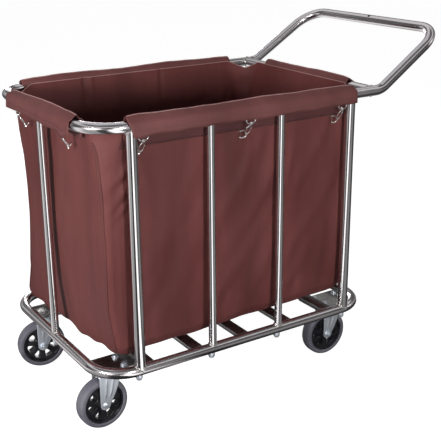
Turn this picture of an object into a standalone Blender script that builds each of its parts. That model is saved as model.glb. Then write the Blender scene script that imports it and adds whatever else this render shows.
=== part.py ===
"""Linen trolley: a stainless tube frame on four swivel casters, holding a hanging cloth bag.

Frame: +Z up, floor at z = 0, +X towards the push handle (the rear), -Y the left side of
somebody who pushes it. The world origin is under the middle of the whole object; inside the
file everything hangs on an empty at the middle of the basket.
"""

import math

import bmesh
import bpy
from mathutils import Matrix, Vector

# ---------------------------------------------------------------- driving dimensions, metres
GAP = 0.0003                 # clearance between pieces that touch

TUBE_R = 0.0127              # main tube, 25.4 mm
POST_R = 0.0095              # light posts, 19 mm
TUBE_WALL = 0.0012
TUBE_SIDES = 16

BASKET_HALF_LENGTH = 0.383   # centre line of both rings
BASKET_HALF_WIDTH = 0.270
CORNER_RADIUS = 0.083
BASE_HEIGHT = 0.168          # centre line of the base ring
RAIL_HEIGHT = 0.734          # centre line of the top rail

HANDLE_BEND_X = 0.401        # where the rail turns up into the handle
HANDLE_X = 0.604             # centre line of the grip bar
HANDLE_HEIGHT = 0.864
HANDLE_HALF_WIDTH = 0.262
HANDLE_BEND_RADIUS = 0.060
HANDLE_CORNER_RADIUS = 0.070
CROSS_TUBE_X = 0.372

CORNER_POST_X = (-0.293, 0.304)
SIDE_POST_X = (-0.097, 0.096)
REAR_POST_X = 0.373

CROSSBAR_PITCH = 0.132
CROSSBAR_COUNT = 5
CROSSBAR_WIDTH = 0.031
CROSSBAR_THICKNESS = 0.012
CROSSBAR_TOP = 0.1745

MOUNT_PLATE_THICKNESS = 0.003
MOUNT_PLATE_WIDTH = 0.078
MOUNT_PLATE_TOP = BASE_HEIGHT - TUBE_R - GAP

CASTER_X = 0.335             # swivel axes
CASTER_Y = 0.181
CASTER_TRAIL = 0.0175
# resting swivel angle of each caster, degrees
CASTERS = {
    "front_left": (-1, -1, 2.0),
    "rear_left": (1, -1, -1.0),
    "front_right": (-1, 1, -8.0),
    "rear_right": (1, 1, 0.0),
}
CASTER_PLATE = (0.090, 0.068)
CASTER_PLATE_THICKNESS = 0.003
RACE_RADIUS = 0.027
RACE_HEIGHT = 0.0035
KINGPIN_RADIUS = 0.0115
KINGPIN_LENGTH = 0.0135
HEAD_RADIUS = 0.030
HEAD_HEIGHT = 0.0060
CROWN_THICKNESS = 0.0035
LEG_THICKNESS = 0.003
LEG_TOP_FRONT = 0.0245       # forward edge of a fork leg under the crown
LEG_END_RADIUS = 0.013

WHEEL_RADIUS = 0.0625
WHEEL_WIDTH = 0.032
WHEEL_SIDES = 36
HUB_RADIUS = 0.050
HUB_SIDES = 28
BORE_RADIUS = 0.0044
WINDOW_COUNT = 7
AXLE_RADIUS = 0.0040
AXLE_HEAD_RADIUS = 0.0066
SIDE_PLAY = 0.002            # wheel to fork leg

CLOTH = 0.003                # thickness of the bag's solid
FLAP_INNER_R = TUBE_R + 0.0007
FLAP_OUTER_R = FLAP_INNER_R + CLOTH
FLAP_DROP = 0.019            # how far the flap hangs below the rail's centre line
FLAP_SIDE_X = (-0.301, 0.312)
FLAP_FRONT_Y = (-0.188, 0.185)
FLAP_REAR_Y = (-0.190, 0.170)
BAG_TOP = RAIL_HEIGHT - 0.004
BAG_FLOOR = CROSSBAR_TOP + GAP

HOOK_WIRE_R = 0.0012
HOOK_EYE_R = 0.0036
HOOK_NECK = 0.0017
HOOK_HALF_WIDTH = 0.0055
HOOK_SHOULDER = 0.0118
HOOK_LENGTH = 0.0360
HOOK_TILT = 34.0             # lower end leans in towards the bag, degrees
HOOK_OUT = 0.0128            # eye, outside the rail's centre line
HOOK_EYE_Z = 0.7040
HOOK_SIDE_X = (-0.271, 0.002, 0.269)
HOOK_FRONT_Y = (-0.141, 0.103)

# the object's box is centred on the world origin: half the difference of its two ends,
# the front right tyre and the grip bar
FRONT_REACH = 0.4153
ORIGIN_X = (FRONT_REACH - (HANDLE_X + TUBE_R)) / 2


# ---------------------------------------------------------------- scene and materials
def clear_scene():
    for item in list(bpy.data.objects):
        bpy.data.objects.remove(item, do_unlink=True)


FINISHES = {
    "stainless": ((0.62, 0.61, 0.60), 0.28, 1.0),
    "zinc": ((0.60, 0.64, 0.70), 0.35, 1.0),
    "rubber": ((0.16, 0.16, 0.19), 0.75, 0.0),
    "black_plastic": ((0.012, 0.012, 0.014), 0.4, 0.0),
    "cloth": ((0.13, 0.052, 0.048), 0.85, 0.0),
    "chrome": ((0.75, 0.75, 0.76), 0.15, 1.0),
}


def paint(obj, finish):
    colour, roughness, metallic = FINISHES[finish]
    material = bpy.data.materials.new(obj.name + "_" + finish)
    material.use_nodes = True
    shader = material.node_tree.nodes["Principled BSDF"]
    shader.inputs["Base Color"].default_value = (*colour, 1.0)
    shader.inputs["Roughness"].default_value = roughness
    shader.inputs["Metallic"].default_value = metallic
    obj.data.materials.clear()
    obj.data.materials.append(material)


def empty(name, location, parent=None, turn=0.0):
    obj = bpy.data.objects.new(name, None)
    obj.location = location
    obj.rotation_euler = (0.0, 0.0, math.radians(turn))
    obj.parent = parent
    bpy.context.collection.objects.link(obj)
    return obj


def place(name, mesh_or_curve, finish=None, parent=None, location=(0, 0, 0)):
    obj = bpy.data.objects.new(name, mesh_or_curve)
    obj.location = location
    obj.parent = parent
    bpy.context.collection.objects.link(obj)
    if finish:
        paint(obj, finish)
    return obj


def mesh_from(name, bm, smooth=True):
    bmesh.ops.recalc_face_normals(bm, faces=bm.faces[:])
    mesh = bpy.data.meshes.new(name)
    bm.to_mesh(mesh)
    bm.free()
    if smooth:
        mesh.shade_smooth()
        mesh.set_sharp_from_angle(angle=math.radians(35))
    return mesh


def cutter(name, mesh, parent=None, location=(0, 0, 0)):
    obj = place(name, mesh, parent=parent, location=location)
    obj.hide_render = True
    obj.display_type = "WIRE"
    return obj


def boolean(obj, other, operation="DIFFERENCE"):
    modifier = obj.modifiers.new(other.name, "BOOLEAN")
    modifier.operation = operation
    modifier.object = other


# ---------------------------------------------------------------- shapes
def rounded(corners, radii, steps, closed=True):
    """Corner points joined by straight runs, each corner an arc of its radius."""
    points = []
    count = len(corners)
    for index, corner in enumerate(corners):
        here = Vector(corner)
        if not closed and index in (0, count - 1):
            points.append(here)
            continue
        back = (Vector(corners[index - 1]) - here).normalized()
        ahead = (Vector(corners[(index + 1) % count]) - here).normalized()
        half = back.angle(ahead) / 2
        radius = radii[index]
        bisector = (back + ahead).normalized()
        centre = here + bisector * (radius / math.sin(half))
        start = here + back * (radius / math.tan(half)) - centre
        axis = start.cross(here + ahead * (radius / math.tan(half)) - centre).normalized()
        sweep = math.pi - 2 * half
        for step in range(steps + 1):
            turn = Matrix.Rotation(sweep * step / steps, 3, axis)
            points.append(centre + turn @ start)
    return points


def tube_curve(name, points, radius, resolution, closed=False):
    curve = bpy.data.curves.new(name, "CURVE")
    curve.dimensions = "3D"
    curve.bevel_depth = radius
    curve.bevel_resolution = resolution
    curve.use_fill_caps = True
    curve.render_resolution_u = 0
    spline = curve.splines.new("POLY")
    spline.points.add(len(points) - 1)
    for target, point in zip(spline.points, points):
        target.co = (*point, 1.0)
    spline.use_cyclic_u = closed
    return curve


def curve_cutter(name, points, radius, parent, closed=True):
    """The same tube, a hair fatter, as a mesh that can cut its neighbours."""
    source = place(name + "_source", tube_curve(name, points, radius, 4, closed))
    bpy.context.view_layer.update()
    evaluated = source.evaluated_get(bpy.context.evaluated_depsgraph_get())
    mesh = bpy.data.meshes.new_from_object(evaluated)
    mesh.name = name
    bpy.data.objects.remove(source, do_unlink=True)
    return cutter(name, mesh, parent)


def straight_tube(name, start, end, radius, wall=TUBE_WALL, sides=TUBE_SIDES):
    """A hollow tube with open ends; a wall of 0 makes a solid bar."""
    start, end = Vector(start), Vector(end)
    frame = (end - start).to_track_quat("Z", "Y").to_matrix()
    bm = bmesh.new()
    rings = []
    for centre, size in ((start, radius), (end, radius), (end, radius - wall), (start, radius - wall)):
        ring = []
        for side in range(sides):
            angle = 2 * math.pi * (side + 0.5) / sides
            ring.append(bm.verts.new(centre + frame @ Vector((math.cos(angle), math.sin(angle), 0)) * size))
        rings.append(ring)
    if wall:
        pairs = zip(rings, rings[1:] + rings[:1])
    else:
        pairs = [(rings[0], rings[1])]
        for ring in rings[2:]:
            bmesh.ops.delete(bm, geom=ring, context="VERTS")
        bm.faces.new(rings[0])
        bm.faces.new(rings[1])
    for low, high in pairs:
        for side in range(sides):
            after = (side + 1) % sides
            bm.faces.new((low[side], low[after], high[after], high[side]))
    return mesh_from(name, bm)


def lathe(name, profile, sides, smooth=True, phase=0.0):
    """A ring turned about the Y axis; profile is a closed list of (radius, y)."""
    bm = bmesh.new()
    rings = []
    for side in range(sides):
        angle = 2 * math.pi * side / sides + phase
        rings.append([bm.verts.new((r * math.sin(angle), y, -r * math.cos(angle))) for r, y in profile])
    for side in range(sides):
        here, after = rings[side], rings[(side + 1) % sides]
        for index in range(len(profile)):
            following = (index + 1) % len(profile)
            bm.faces.new((here[index], here[following], after[following], after[index]))
    return mesh_from(name, bm, smooth)


def turned_pin(name, profile, sides):
    """A solid turned about the Y axis; profile runs end to end, without its two points on the axis."""
    bm = bmesh.new()
    rings = []
    for r, y in profile:
        ring = []
        for side in range(sides):
            angle = 2 * math.pi * side / sides
            ring.append(bm.verts.new((r * math.cos(angle), y, r * math.sin(angle))))
        rings.append(ring)
    bm.faces.new(rings[0])
    bm.faces.new(rings[-1])
    for low, high in zip(rings, rings[1:]):
        for side in range(sides):
            after = (side + 1) % sides
            bm.faces.new((low[side], low[after], high[after], high[side]))
    return mesh_from(name, bm)


def prism(name, outline, low, high, plane="XZ", smooth=False):
    """An outline extruded across: XZ outlines along Y, XY outlines along Z, YZ outlines along X."""
    def lift(point, across):
        first, second = point
        if plane == "XZ":
            return (first, across, second)
        if plane == "XY":
            return (first, second, across)
        return (across, first, second)

    bm = bmesh.new()
    near = [bm.verts.new(lift(point, low)) for point in outline]
    far = [bm.verts.new(lift(point, high)) for point in outline]
    bm.faces.new(near)
    bm.faces.new(far)
    for index in range(len(outline)):
        after = (index + 1) % len(outline)
        bm.faces.new((near[index], near[after], far[after], far[index]))
    return mesh_from(name, bm, smooth)


def box(name, low, high):
    outline = [(low[0], low[1]), (high[0], low[1]), (high[0], high[1]), (low[0], high[1])]
    return prism(name, outline, low[2], high[2], "XY")


def arc(centre, radius, start, end, steps):
    """Points on an arc; angles in degrees."""
    found = []
    for step in range(steps + 1):
        angle = math.radians(start + (end - start) * step / steps)
        found.append((centre[0] + radius * math.cos(angle), centre[1] + radius * math.sin(angle)))
    return found


# ---------------------------------------------------------------- tube frame
def ring_corners(height):
    length, width = BASKET_HALF_LENGTH, BASKET_HALF_WIDTH
    return [(-length, width, height), (-length, -width, height),
            (length, -width, height), (length, width, height)]


def rail_path():
    length, width = BASKET_HALF_LENGTH, BASKET_HALF_WIDTH
    corners = [
        (-length, -width, RAIL_HEIGHT),
        (HANDLE_BEND_X, -width, RAIL_HEIGHT),
        (HANDLE_X, -HANDLE_HALF_WIDTH, HANDLE_HEIGHT),
        (HANDLE_X, HANDLE_HALF_WIDTH, HANDLE_HEIGHT),
        (HANDLE_BEND_X, width, RAIL_HEIGHT),
        (-length, width, RAIL_HEIGHT),
    ]
    radii = [CORNER_RADIUS, HANDLE_BEND_RADIUS, HANDLE_CORNER_RADIUS,
             HANDLE_CORNER_RADIUS, HANDLE_BEND_RADIUS, CORNER_RADIUS]
    return rounded(corners, radii, 6)


def build_rings(root):
    """The base ring, the top rail that runs on into the handle, and their cutters."""
    base = rounded(ring_corners(BASE_HEIGHT), [CORNER_RADIUS] * 4, 6)
    place("base_ring", tube_curve("base_ring", base, TUBE_R, 4, True), "stainless", root)
    place("top_rail", tube_curve("top_rail", rail_path(), TUBE_R, 4, True), "stainless", root)
    base_cut = curve_cutter("base_cut", base, TUBE_R + GAP, root)
    rail_cut = curve_cutter("rail_cut", rail_path(), TUBE_R + GAP, root)
    return base_cut, rail_cut


def build_cross_tube(root, rail_cut):
    width = BASKET_HALF_WIDTH
    ends = (CROSS_TUBE_X, -width, RAIL_HEIGHT), (CROSS_TUBE_X, width, RAIL_HEIGHT)
    tube = place("rail_cross_tube", straight_tube("rail_cross_tube", *ends, TUBE_R), "stainless", root)
    boolean(tube, rail_cut)
    solid = straight_tube("cross_cut", *ends, TUBE_R + GAP, wall=0)
    return cutter("cross_cut", solid, root)


def build_post(root, name, x, y, radius, low_cut, high_cut):
    ends = (x, y, BASE_HEIGHT + 0.002), (x, y, RAIL_HEIGHT - 0.002)
    post = place(name, straight_tube(name, *ends, radius), "stainless", root)
    boolean(post, low_cut)
    boolean(post, high_cut)


def build_posts(root, base_cut, rail_cut, cross_cut):
    for side, sign in (("left", -1), ("right", 1)):
        y = sign * BASKET_HALF_WIDTH
        for end, x in zip(("front", "rear"), CORNER_POST_X):
            build_post(root, f"corner_post_{end}_{side}", x, y, TUBE_R, base_cut, rail_cut)
        for end, x in zip(("front", "rear"), SIDE_POST_X):
            build_post(root, f"side_post_{end}_{side}", x, y, POST_R, base_cut, rail_cut)
    build_post(root, "end_post_front", -BASKET_HALF_LENGTH, 0, POST_R, base_cut, rail_cut)
    build_post(root, "end_post_rear", REAR_POST_X, 0, POST_R, base_cut, cross_cut)


def build_crossbars(root, base_cut):
    """Flat bars across the base that carry the bag's floor."""
    half, thick, soft = CROSSBAR_WIDTH / 2, CROSSBAR_THICKNESS, 0.0025
    section = []
    for x, z, start in ((half, 0, -90), (half, thick, 0), (-half, thick, 90), (-half, 0, 180)):
        inset = (x - math.copysign(soft, x), z + (soft if z == 0 else -soft))
        section += arc(inset, soft, start, start + 90, 2)
    section = [(x, z + CROSSBAR_TOP - thick) for x, z in section]
    for index in range(CROSSBAR_COUNT):
        name = f"base_crossbar_{index + 1}"
        mesh = prism(name, section, -BASKET_HALF_WIDTH, BASKET_HALF_WIDTH, "XZ")
        x = (index - (CROSSBAR_COUNT - 1) / 2) * CROSSBAR_PITCH
        bar = place(name, mesh, "stainless", root, (x, 0, 0))
        boolean(bar, base_cut)


def build_mount_plates(root):
    """A plate under each corner that the caster bolts to, its inner edge folded up to the crossbar."""
    top, thick = MOUNT_PLATE_TOP, MOUNT_PLATE_THICKNESS
    outer = BASKET_HALF_LENGTH
    inner = CROSSBAR_PITCH * (CROSSBAR_COUNT - 1) / 2 - 0.002
    fold = CROSSBAR_TOP - CROSSBAR_THICKNESS - GAP
    for name, (end, side, _) in CASTERS.items():
        outline = [(outer, top - thick), (inner, top - thick), (inner, fold),
                   (inner + thick, fold), (inner + thick, top), (outer, top)]
        outline = [(end * x, z) for x, z in outline]
        middle = side * CASTER_Y
        low, high = middle - MOUNT_PLATE_WIDTH / 2, middle + MOUNT_PLATE_WIDTH / 2
        plate = prism(f"mount_plate_{name}", outline, low, high, "XZ")
        place(f"mount_plate_{name}", plate, "stainless", root)


# ---------------------------------------------------------------- casters
PLATE_TOP = MOUNT_PLATE_TOP - MOUNT_PLATE_THICKNESS - GAP
RACE_TOP = PLATE_TOP - CASTER_PLATE_THICKNESS
HEAD_TOP = RACE_TOP - RACE_HEIGHT - GAP
CROWN_TOP = HEAD_TOP - HEAD_HEIGHT
LEG_INNER = WHEEL_WIDTH / 2 + SIDE_PLAY
LEG_OUTER = LEG_INNER + LEG_THICKNESS


def build_caster_plate(name, root, spot):
    """Top plate, upper race and kingpin: one pressed and riveted part that stays still."""
    length, width = CASTER_PLATE[0] / 2, CASTER_PLATE[1] / 2
    corner = 0.008
    outline = []
    corners = ((length, width, 0), (-length, width, 90), (-length, -width, 180), (length, -width, 270))
    for x, y, start in corners:
        middle = (x - math.copysign(corner, x), y - math.copysign(corner, y))
        outline += arc(middle, corner, start, start + 90, 3)
    plate = place(name, prism(name, outline, RACE_TOP, PLATE_TOP, "XY"), "zinc", root, spot)
    race_end = RACE_TOP - RACE_HEIGHT
    race_run = (0, 0, race_end), (0, 0, RACE_TOP + 0.001)
    race = straight_tube(name + "_race", *race_run, RACE_RADIUS, wall=0, sides=20)
    boolean(plate, cutter(name + "_race", race, root, spot), "UNION")
    pin_run = (0, 0, race_end - KINGPIN_LENGTH), (0, 0, race_end + 0.001)
    pin = straight_tube(name + "_pin", *pin_run, KINGPIN_RADIUS, wall=0, sides=20)
    boolean(plate, cutter(name + "_pin", pin, root, spot), "UNION")


def leg_outline():
    """Fork leg seen from the side: straight behind, slanting in front, round at the axle."""
    axle = (-CASTER_TRAIL, WHEEL_RADIUS)
    top_front = (LEG_TOP_FRONT, CROWN_TOP)
    # the front edge runs from the top to the tangent point on the round end
    away = Vector(top_front) - Vector(axle)
    tangent = math.degrees(math.atan2(away.y, away.x) - math.acos(LEG_END_RADIUS / away.length))
    outline = [(axle[0] - LEG_END_RADIUS, CROWN_TOP)]
    outline += arc(axle, LEG_END_RADIUS, 180, 360 + tangent, 10)
    outline.append(top_front)
    return outline


def fork_mesh_tools(name, base):
    """The fork: a bent U of plate with a round head, bored for the kingpin and the axle."""
    fork = place(name, prism(name, leg_outline(), -LEG_OUTER, LEG_OUTER, "XZ"), "zinc", base)
    slot = box(name + "_slot", (-0.08, -LEG_INNER, 0.0), (0.08, LEG_INNER, CROWN_TOP - CROWN_THICKNESS))
    boolean(fork, cutter(name + "_slot", slot, base))
    head = straight_tube(name + "_head", (0, 0, CROWN_TOP - 0.001), (0, 0, HEAD_TOP), HEAD_RADIUS,
                         wall=0, sides=20)
    boolean(fork, cutter(name + "_head", head, base), "UNION")
    bore_run = (0, 0, 0.12), (0, 0, 0.16)
    bore = straight_tube(name + "_bore", *bore_run, KINGPIN_RADIUS + 0.0006, wall=0, sides=20)
    boolean(fork, cutter(name + "_bore", bore, base))
    axle_hole = straight_tube(name + "_hole", (0, -0.04, 0), (0, 0.04, 0), BORE_RADIUS, wall=0, sides=12)
    boolean(fork, cutter(name + "_hole", axle_hole, base, (-CASTER_TRAIL, 0, WHEEL_RADIUS)))


def hub_mesh():
    """Moulded wheel centre: bored boss, thin web, rim."""
    boss, web, rim = WHEEL_WIDTH / 2 + 0.0008, 0.004, 0.0140
    half = [(BORE_RADIUS, boss), (0.0115, boss), (0.0135, web),
            (0.0425, web), (0.0445, rim), (HUB_RADIUS, rim)]
    profile = half + [(r, -y) for r, y in reversed(half)]
    return lathe("hub", profile, HUB_SIDES)


def window_cutter_mesh():
    """Seven windows round the web, each a wedge with straight sides."""
    bm = bmesh.new()
    inner, outer, narrow, wide = 0.0225, 0.0390, 7.0, 14.5
    for index in range(WINDOW_COUNT):
        middle = 360 * index / WINDOW_COUNT
        corners = []
        wedge = ((inner, -narrow), (inner, narrow), (outer, wide), (outer + 0.0015, 0), (outer, -wide))
        for radius, offset in wedge:
            angle = math.radians(middle + offset)
            corners.append((radius * math.sin(angle), radius * math.cos(angle)))
        near = [bm.verts.new((x, -0.02, z)) for x, z in corners]
        far = [bm.verts.new((x, 0.02, z)) for x, z in corners]
        bm.faces.new(near)
        bm.faces.new(far)
        for step in range(len(corners)):
            after = (step + 1) % len(corners)
            bm.faces.new((near[step], near[after], far[after], far[step]))
    return mesh_from("hub_windows", bm, False)


def tyre_mesh():
    half = WHEEL_WIDTH / 2
    bore = HUB_RADIUS + GAP
    side = [(bore, -half + 0.001), (0.0575, -half), (0.0612, -half + 0.003), (WHEEL_RADIUS, -half + 0.008)]
    return lathe("tyre", side + [(r, -y) for r, y in reversed(side)], WHEEL_SIDES)


def axle_mesh(side):
    """Axle bolt with a domed head outside; the threaded end stands out of the other leg."""
    head = LEG_OUTER + GAP
    profile = [(0.003, -head - 0.0038), (0.0052, -head - 0.0030), (AXLE_HEAD_RADIUS, -head - 0.0012),
               (AXLE_HEAD_RADIUS, -head), (AXLE_RADIUS, -head), (AXLE_RADIUS, LEG_OUTER + 0.009),
               (AXLE_RADIUS - 0.0008, LEG_OUTER + 0.010)]
    return turned_pin("axle", [(r, side * y) for r, y in profile], 12)


def build_casters(root):
    hub, tyre, windows = hub_mesh(), tyre_mesh(), window_cutter_mesh()
    for name, (end, side, turn) in CASTERS.items():
        spot = (end * CASTER_X, side * CASTER_Y, 0)
        build_caster_plate(f"{name}_caster_plate", root, spot)
        swivel = empty(f"{name}_swivel", spot, root, turn)
        fork_mesh_tools(f"{name}_caster_fork", swivel)
        axle_at = (-CASTER_TRAIL, 0, WHEEL_RADIUS)
        # the heads face outwards on the front casters and the nuts on the rear ones
        place(f"{name}_axle_bolt", axle_mesh(side if end > 0 else -side), "zinc", swivel, axle_at)
        wheel = place(f"{name}_wheel_hub", hub.copy(), "black_plastic", swivel, axle_at)
        boolean(wheel, cutter(f"{name}_windows", windows.copy(), swivel, axle_at))
        place(f"{name}_tyre", tyre.copy(), "rubber", swivel, axle_at)


# ---------------------------------------------------------------- cloth bag
def bag_section(low_x, high_x, half_y, radius, height, steps=4):
    points = []
    corners = ((high_x, half_y, 0), (low_x, half_y, 90), (low_x, -half_y, 180), (high_x, -half_y, 270))
    for x, y, start in corners:
        centre = (x + (radius if x == low_x else -radius), y - math.copysign(radius, y))
        points += arc(centre, radius, start, start + 90, steps)
    return [(x, y, height) for x, y in points]


def bag_shell_mesh():
    """Open box of cloth: widest at the rail, drawn in below it, rounded under."""
    front = -BASKET_HALF_LENGTH + FLAP_INNER_R
    rear = CROSS_TUBE_X - FLAP_INNER_R
    side = BASKET_HALF_WIDTH - FLAP_INNER_R
    # inset from the rail, height, corner radius; the edges of the floor lift clear of the bars
    levels = ((0.080, BAG_FLOOR, 0.030), (0.052, BAG_FLOOR + 0.010, 0.036),
              (0.027, BAG_FLOOR + 0.022, 0.044), (0.015, BAG_FLOOR + 0.040, 0.050),
              (0.010, 0.45, 0.060), (0.003, 0.690, 0.070), (0.0, BAG_TOP, 0.073))
    bm = bmesh.new()
    outer, inner = [], []
    for inset, height, radius in levels:
        section = bag_section(front + inset, rear - inset, side - inset, radius, height)
        outer.append([bm.verts.new(point) for point in section])
        inset += CLOTH
        height = height + CLOTH if height < 0.3 else height
        section = bag_section(front + inset, rear - inset, side - inset, radius - CLOTH, height)
        inner.append([bm.verts.new(point) for point in section])
    for loops in (outer, inner):
        bm.faces.new(loops[0])
        for low, high in zip(loops, loops[1:]):
            for index in range(len(low)):
                after = (index + 1) % len(low)
                bm.faces.new((low[index], low[after], high[after], high[index]))
    for index in range(len(outer[-1])):
        after = (index + 1) % len(outer[-1])
        bm.faces.new((outer[-1][index], outer[-1][after], inner[-1][after], inner[-1][index]))
    return mesh_from("linen_bag", bm)


def flap_outline(centre, outward):
    """Section of a flap folded over a tube; outward is the sign of its outer side."""
    inner, outer = FLAP_INNER_R - 0.0002, FLAP_OUTER_R + 0.0002
    down = -0.016
    points = [(-inner, down)] + arc((0, 0), inner, 180, 0, 8) + [(inner, -FLAP_DROP)]
    points += [(outer, -FLAP_DROP)] + arc((0, 0), outer, 0, 180, 8) + [(-outer, down)]
    return [(centre + outward * a, RAIL_HEIGHT + z) for a, z in points]


def build_bag(root):
    bag = place("linen_bag", bag_shell_mesh(), "cloth", root)
    width = BASKET_HALF_WIDTH
    for name, y, sign in (("left", -width, -1), ("right", width, 1)):
        flap = prism(f"flap_{name}", flap_outline(y, sign), *FLAP_SIDE_X, "YZ")
        boolean(bag, cutter(f"flap_{name}", flap, root), "UNION")
    ends = (("front", -BASKET_HALF_LENGTH, -1, FLAP_FRONT_Y), ("rear", CROSS_TUBE_X, 1, FLAP_REAR_Y))
    for name, x, sign, span in ends:
        flap = prism(f"flap_{name}", flap_outline(x, sign), *span, "XZ")
        boolean(bag, cutter(f"flap_{name}", flap, root), "UNION")


# ---------------------------------------------------------------- snap hooks
HOOK_TIP = -(HOOK_LENGTH - HOOK_EYE_R - HOOK_HALF_WIDTH - 0.0010)
GATE_PIVOT = -HOOK_SHOULDER - 0.0026


def hook_path():
    """Bent wire: shoulder, neck, round the eye, neck, spine, hook and tip."""
    half, bottom = HOOK_HALF_WIDTH, -(HOOK_LENGTH - HOOK_EYE_R - HOOK_HALF_WIDTH)
    opening = math.degrees(math.asin(HOOK_NECK / HOOK_EYE_R))
    points = [(half, -HOOK_SHOULDER - 0.0010), (half - 0.0006, -HOOK_SHOULDER + 0.0012),
              (HOOK_NECK + 0.0012, -0.0078), (HOOK_NECK, -0.0058)]
    points += arc((0, 0), HOOK_EYE_R, -90 + opening, 270 - opening, 9)
    points += [(-HOOK_NECK, -0.0058), (-HOOK_NECK - 0.0012, -0.0078), (-half + 0.0006, -HOOK_SHOULDER + 0.0012),
               (-half, -HOOK_SHOULDER - 0.0010)]
    points += arc((0, bottom), half, 180, 360, 6)
    points.append((half, HOOK_TIP))
    return [(x, 0, z) for x, z in points]


def build_hook(root, name, location, turn):
    """A snap hook that hangs from a flap; its lower end leans in to the bag's ring."""
    base = empty(f"{name}_base", location, root)
    base.rotation_euler = (math.radians(HOOK_TILT), 0, math.radians(turn))
    place(name, tube_curve(name, hook_path(), HOOK_WIRE_R, 1), "chrome", base)
    run = [(0, 0, 0.0006), (0, 0, HOOK_TIP - GATE_PIVOT + 0.0004)]
    gate = tube_curve(f"{name}_gate", run, HOOK_WIRE_R - 0.0001, 1)
    place(f"{name}_gate", gate, "chrome", base, (HOOK_HALF_WIDTH, 0, GATE_PIVOT))


def build_hooks(root):
    out = BASKET_HALF_WIDTH + HOOK_OUT
    for index, x in enumerate(HOOK_SIDE_X):
        build_hook(root, f"snap_hook_left_{index + 1}", (x, -out, HOOK_EYE_Z), 0)
        build_hook(root, f"snap_hook_right_{index + 1}", (x, out, HOOK_EYE_Z), 180)
    for index, y in enumerate(HOOK_FRONT_Y):
        place_at = (-BASKET_HALF_LENGTH - HOOK_OUT, y, HOOK_EYE_Z)
        build_hook(root, f"snap_hook_front_{index + 1}", place_at, -90)


def main():
    clear_scene()
    root = empty("basket_middle", (ORIGIN_X, 0, 0))
    base_cut, rail_cut = build_rings(root)
    cross_cut = build_cross_tube(root, rail_cut)
    build_posts(root, base_cut, rail_cut, cross_cut)
    build_crossbars(root, base_cut)
    build_mount_plates(root)
    build_casters(root)
    build_bag(root)
    build_hooks(root)


main()
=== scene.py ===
"""Looks of the linen trolley: fine tube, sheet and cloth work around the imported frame.

Lengths are metres in the frame of the CAD model: +X to the push handle, +Z up, floor at z = 0.
Most places are written from the middle of the basket, which MIDDLE moves into the frame.
"""

import math

import bmesh
import bpy
import numpy as np
from mathutils import Matrix, Vector, noise


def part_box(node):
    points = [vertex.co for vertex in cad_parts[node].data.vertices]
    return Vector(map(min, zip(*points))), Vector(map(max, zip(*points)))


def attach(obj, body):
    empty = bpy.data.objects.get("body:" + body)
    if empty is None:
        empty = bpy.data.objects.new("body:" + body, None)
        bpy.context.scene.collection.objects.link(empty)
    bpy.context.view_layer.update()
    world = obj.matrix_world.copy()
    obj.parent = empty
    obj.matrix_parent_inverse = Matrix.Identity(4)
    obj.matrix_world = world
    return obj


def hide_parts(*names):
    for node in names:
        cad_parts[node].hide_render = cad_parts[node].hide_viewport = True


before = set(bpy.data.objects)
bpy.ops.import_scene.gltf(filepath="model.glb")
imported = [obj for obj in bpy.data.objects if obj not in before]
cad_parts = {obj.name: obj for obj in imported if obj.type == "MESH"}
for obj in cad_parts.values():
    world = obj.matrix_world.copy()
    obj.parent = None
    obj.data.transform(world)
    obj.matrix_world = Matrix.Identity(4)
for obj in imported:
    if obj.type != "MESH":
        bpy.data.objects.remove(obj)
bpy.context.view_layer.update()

# ---------------------------------------------------------------- places and sizes
low_corner, high_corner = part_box("base_crossbar_3")
MIDDLE = Vector(((low_corner[0] + high_corner[0]) / 2, 0.0, 0.0))
HERE = Matrix.Translation(MIDDLE)

TUBE_R = 0.0127
POST_R = 0.0095
HALF_LENGTH = 0.383
HALF_WIDTH = 0.270
CORNER_RADIUS = 0.083
BASE_Z = 0.168
RAIL_Z = 0.734

HANDLE_BEND_X = 0.401
HANDLE_X = 0.604
HANDLE_Z = 0.864
HANDLE_HALF_WIDTH = 0.262
HANDLE_BEND_RADIUS = 0.060
HANDLE_CORNER_RADIUS = 0.070
CROSS_TUBE_X = 0.372

CORNER_POST_X = (-0.293, 0.304)
SIDE_POST_X = (-0.097, 0.096)
REAR_POST_X = 0.373

CROSSBAR_PITCH = 0.132
CROSSBAR_WIDTH = 0.031
CROSSBAR_THICKNESS = 0.012
CROSSBAR_TOP = 0.1745
PLATE_TOP = BASE_Z - TUBE_R - 0.0003

CASTER_X = 0.335
CASTER_Y = 0.181
CASTER_TRAIL = 0.0175
CASTERS = {
    "front_left": (-1, -1, 2.0),
    "rear_left": (1, -1, -1.0),
    "front_right": (-1, 1, -8.0),
    "rear_right": (1, 1, 0.0),
}
WHEEL_RADIUS = 0.0625
LEG_INNER = 0.0180
LEG_THICKNESS = 0.003

HOOK_TILT = 34.0
HOOK_OUT = 0.0128
HOOK_EYE_Z = 0.7040
HOOK_SIDE_X = (-0.271, 0.002, 0.269)
HOOK_FRONT_Y = (-0.141, 0.103)


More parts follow.
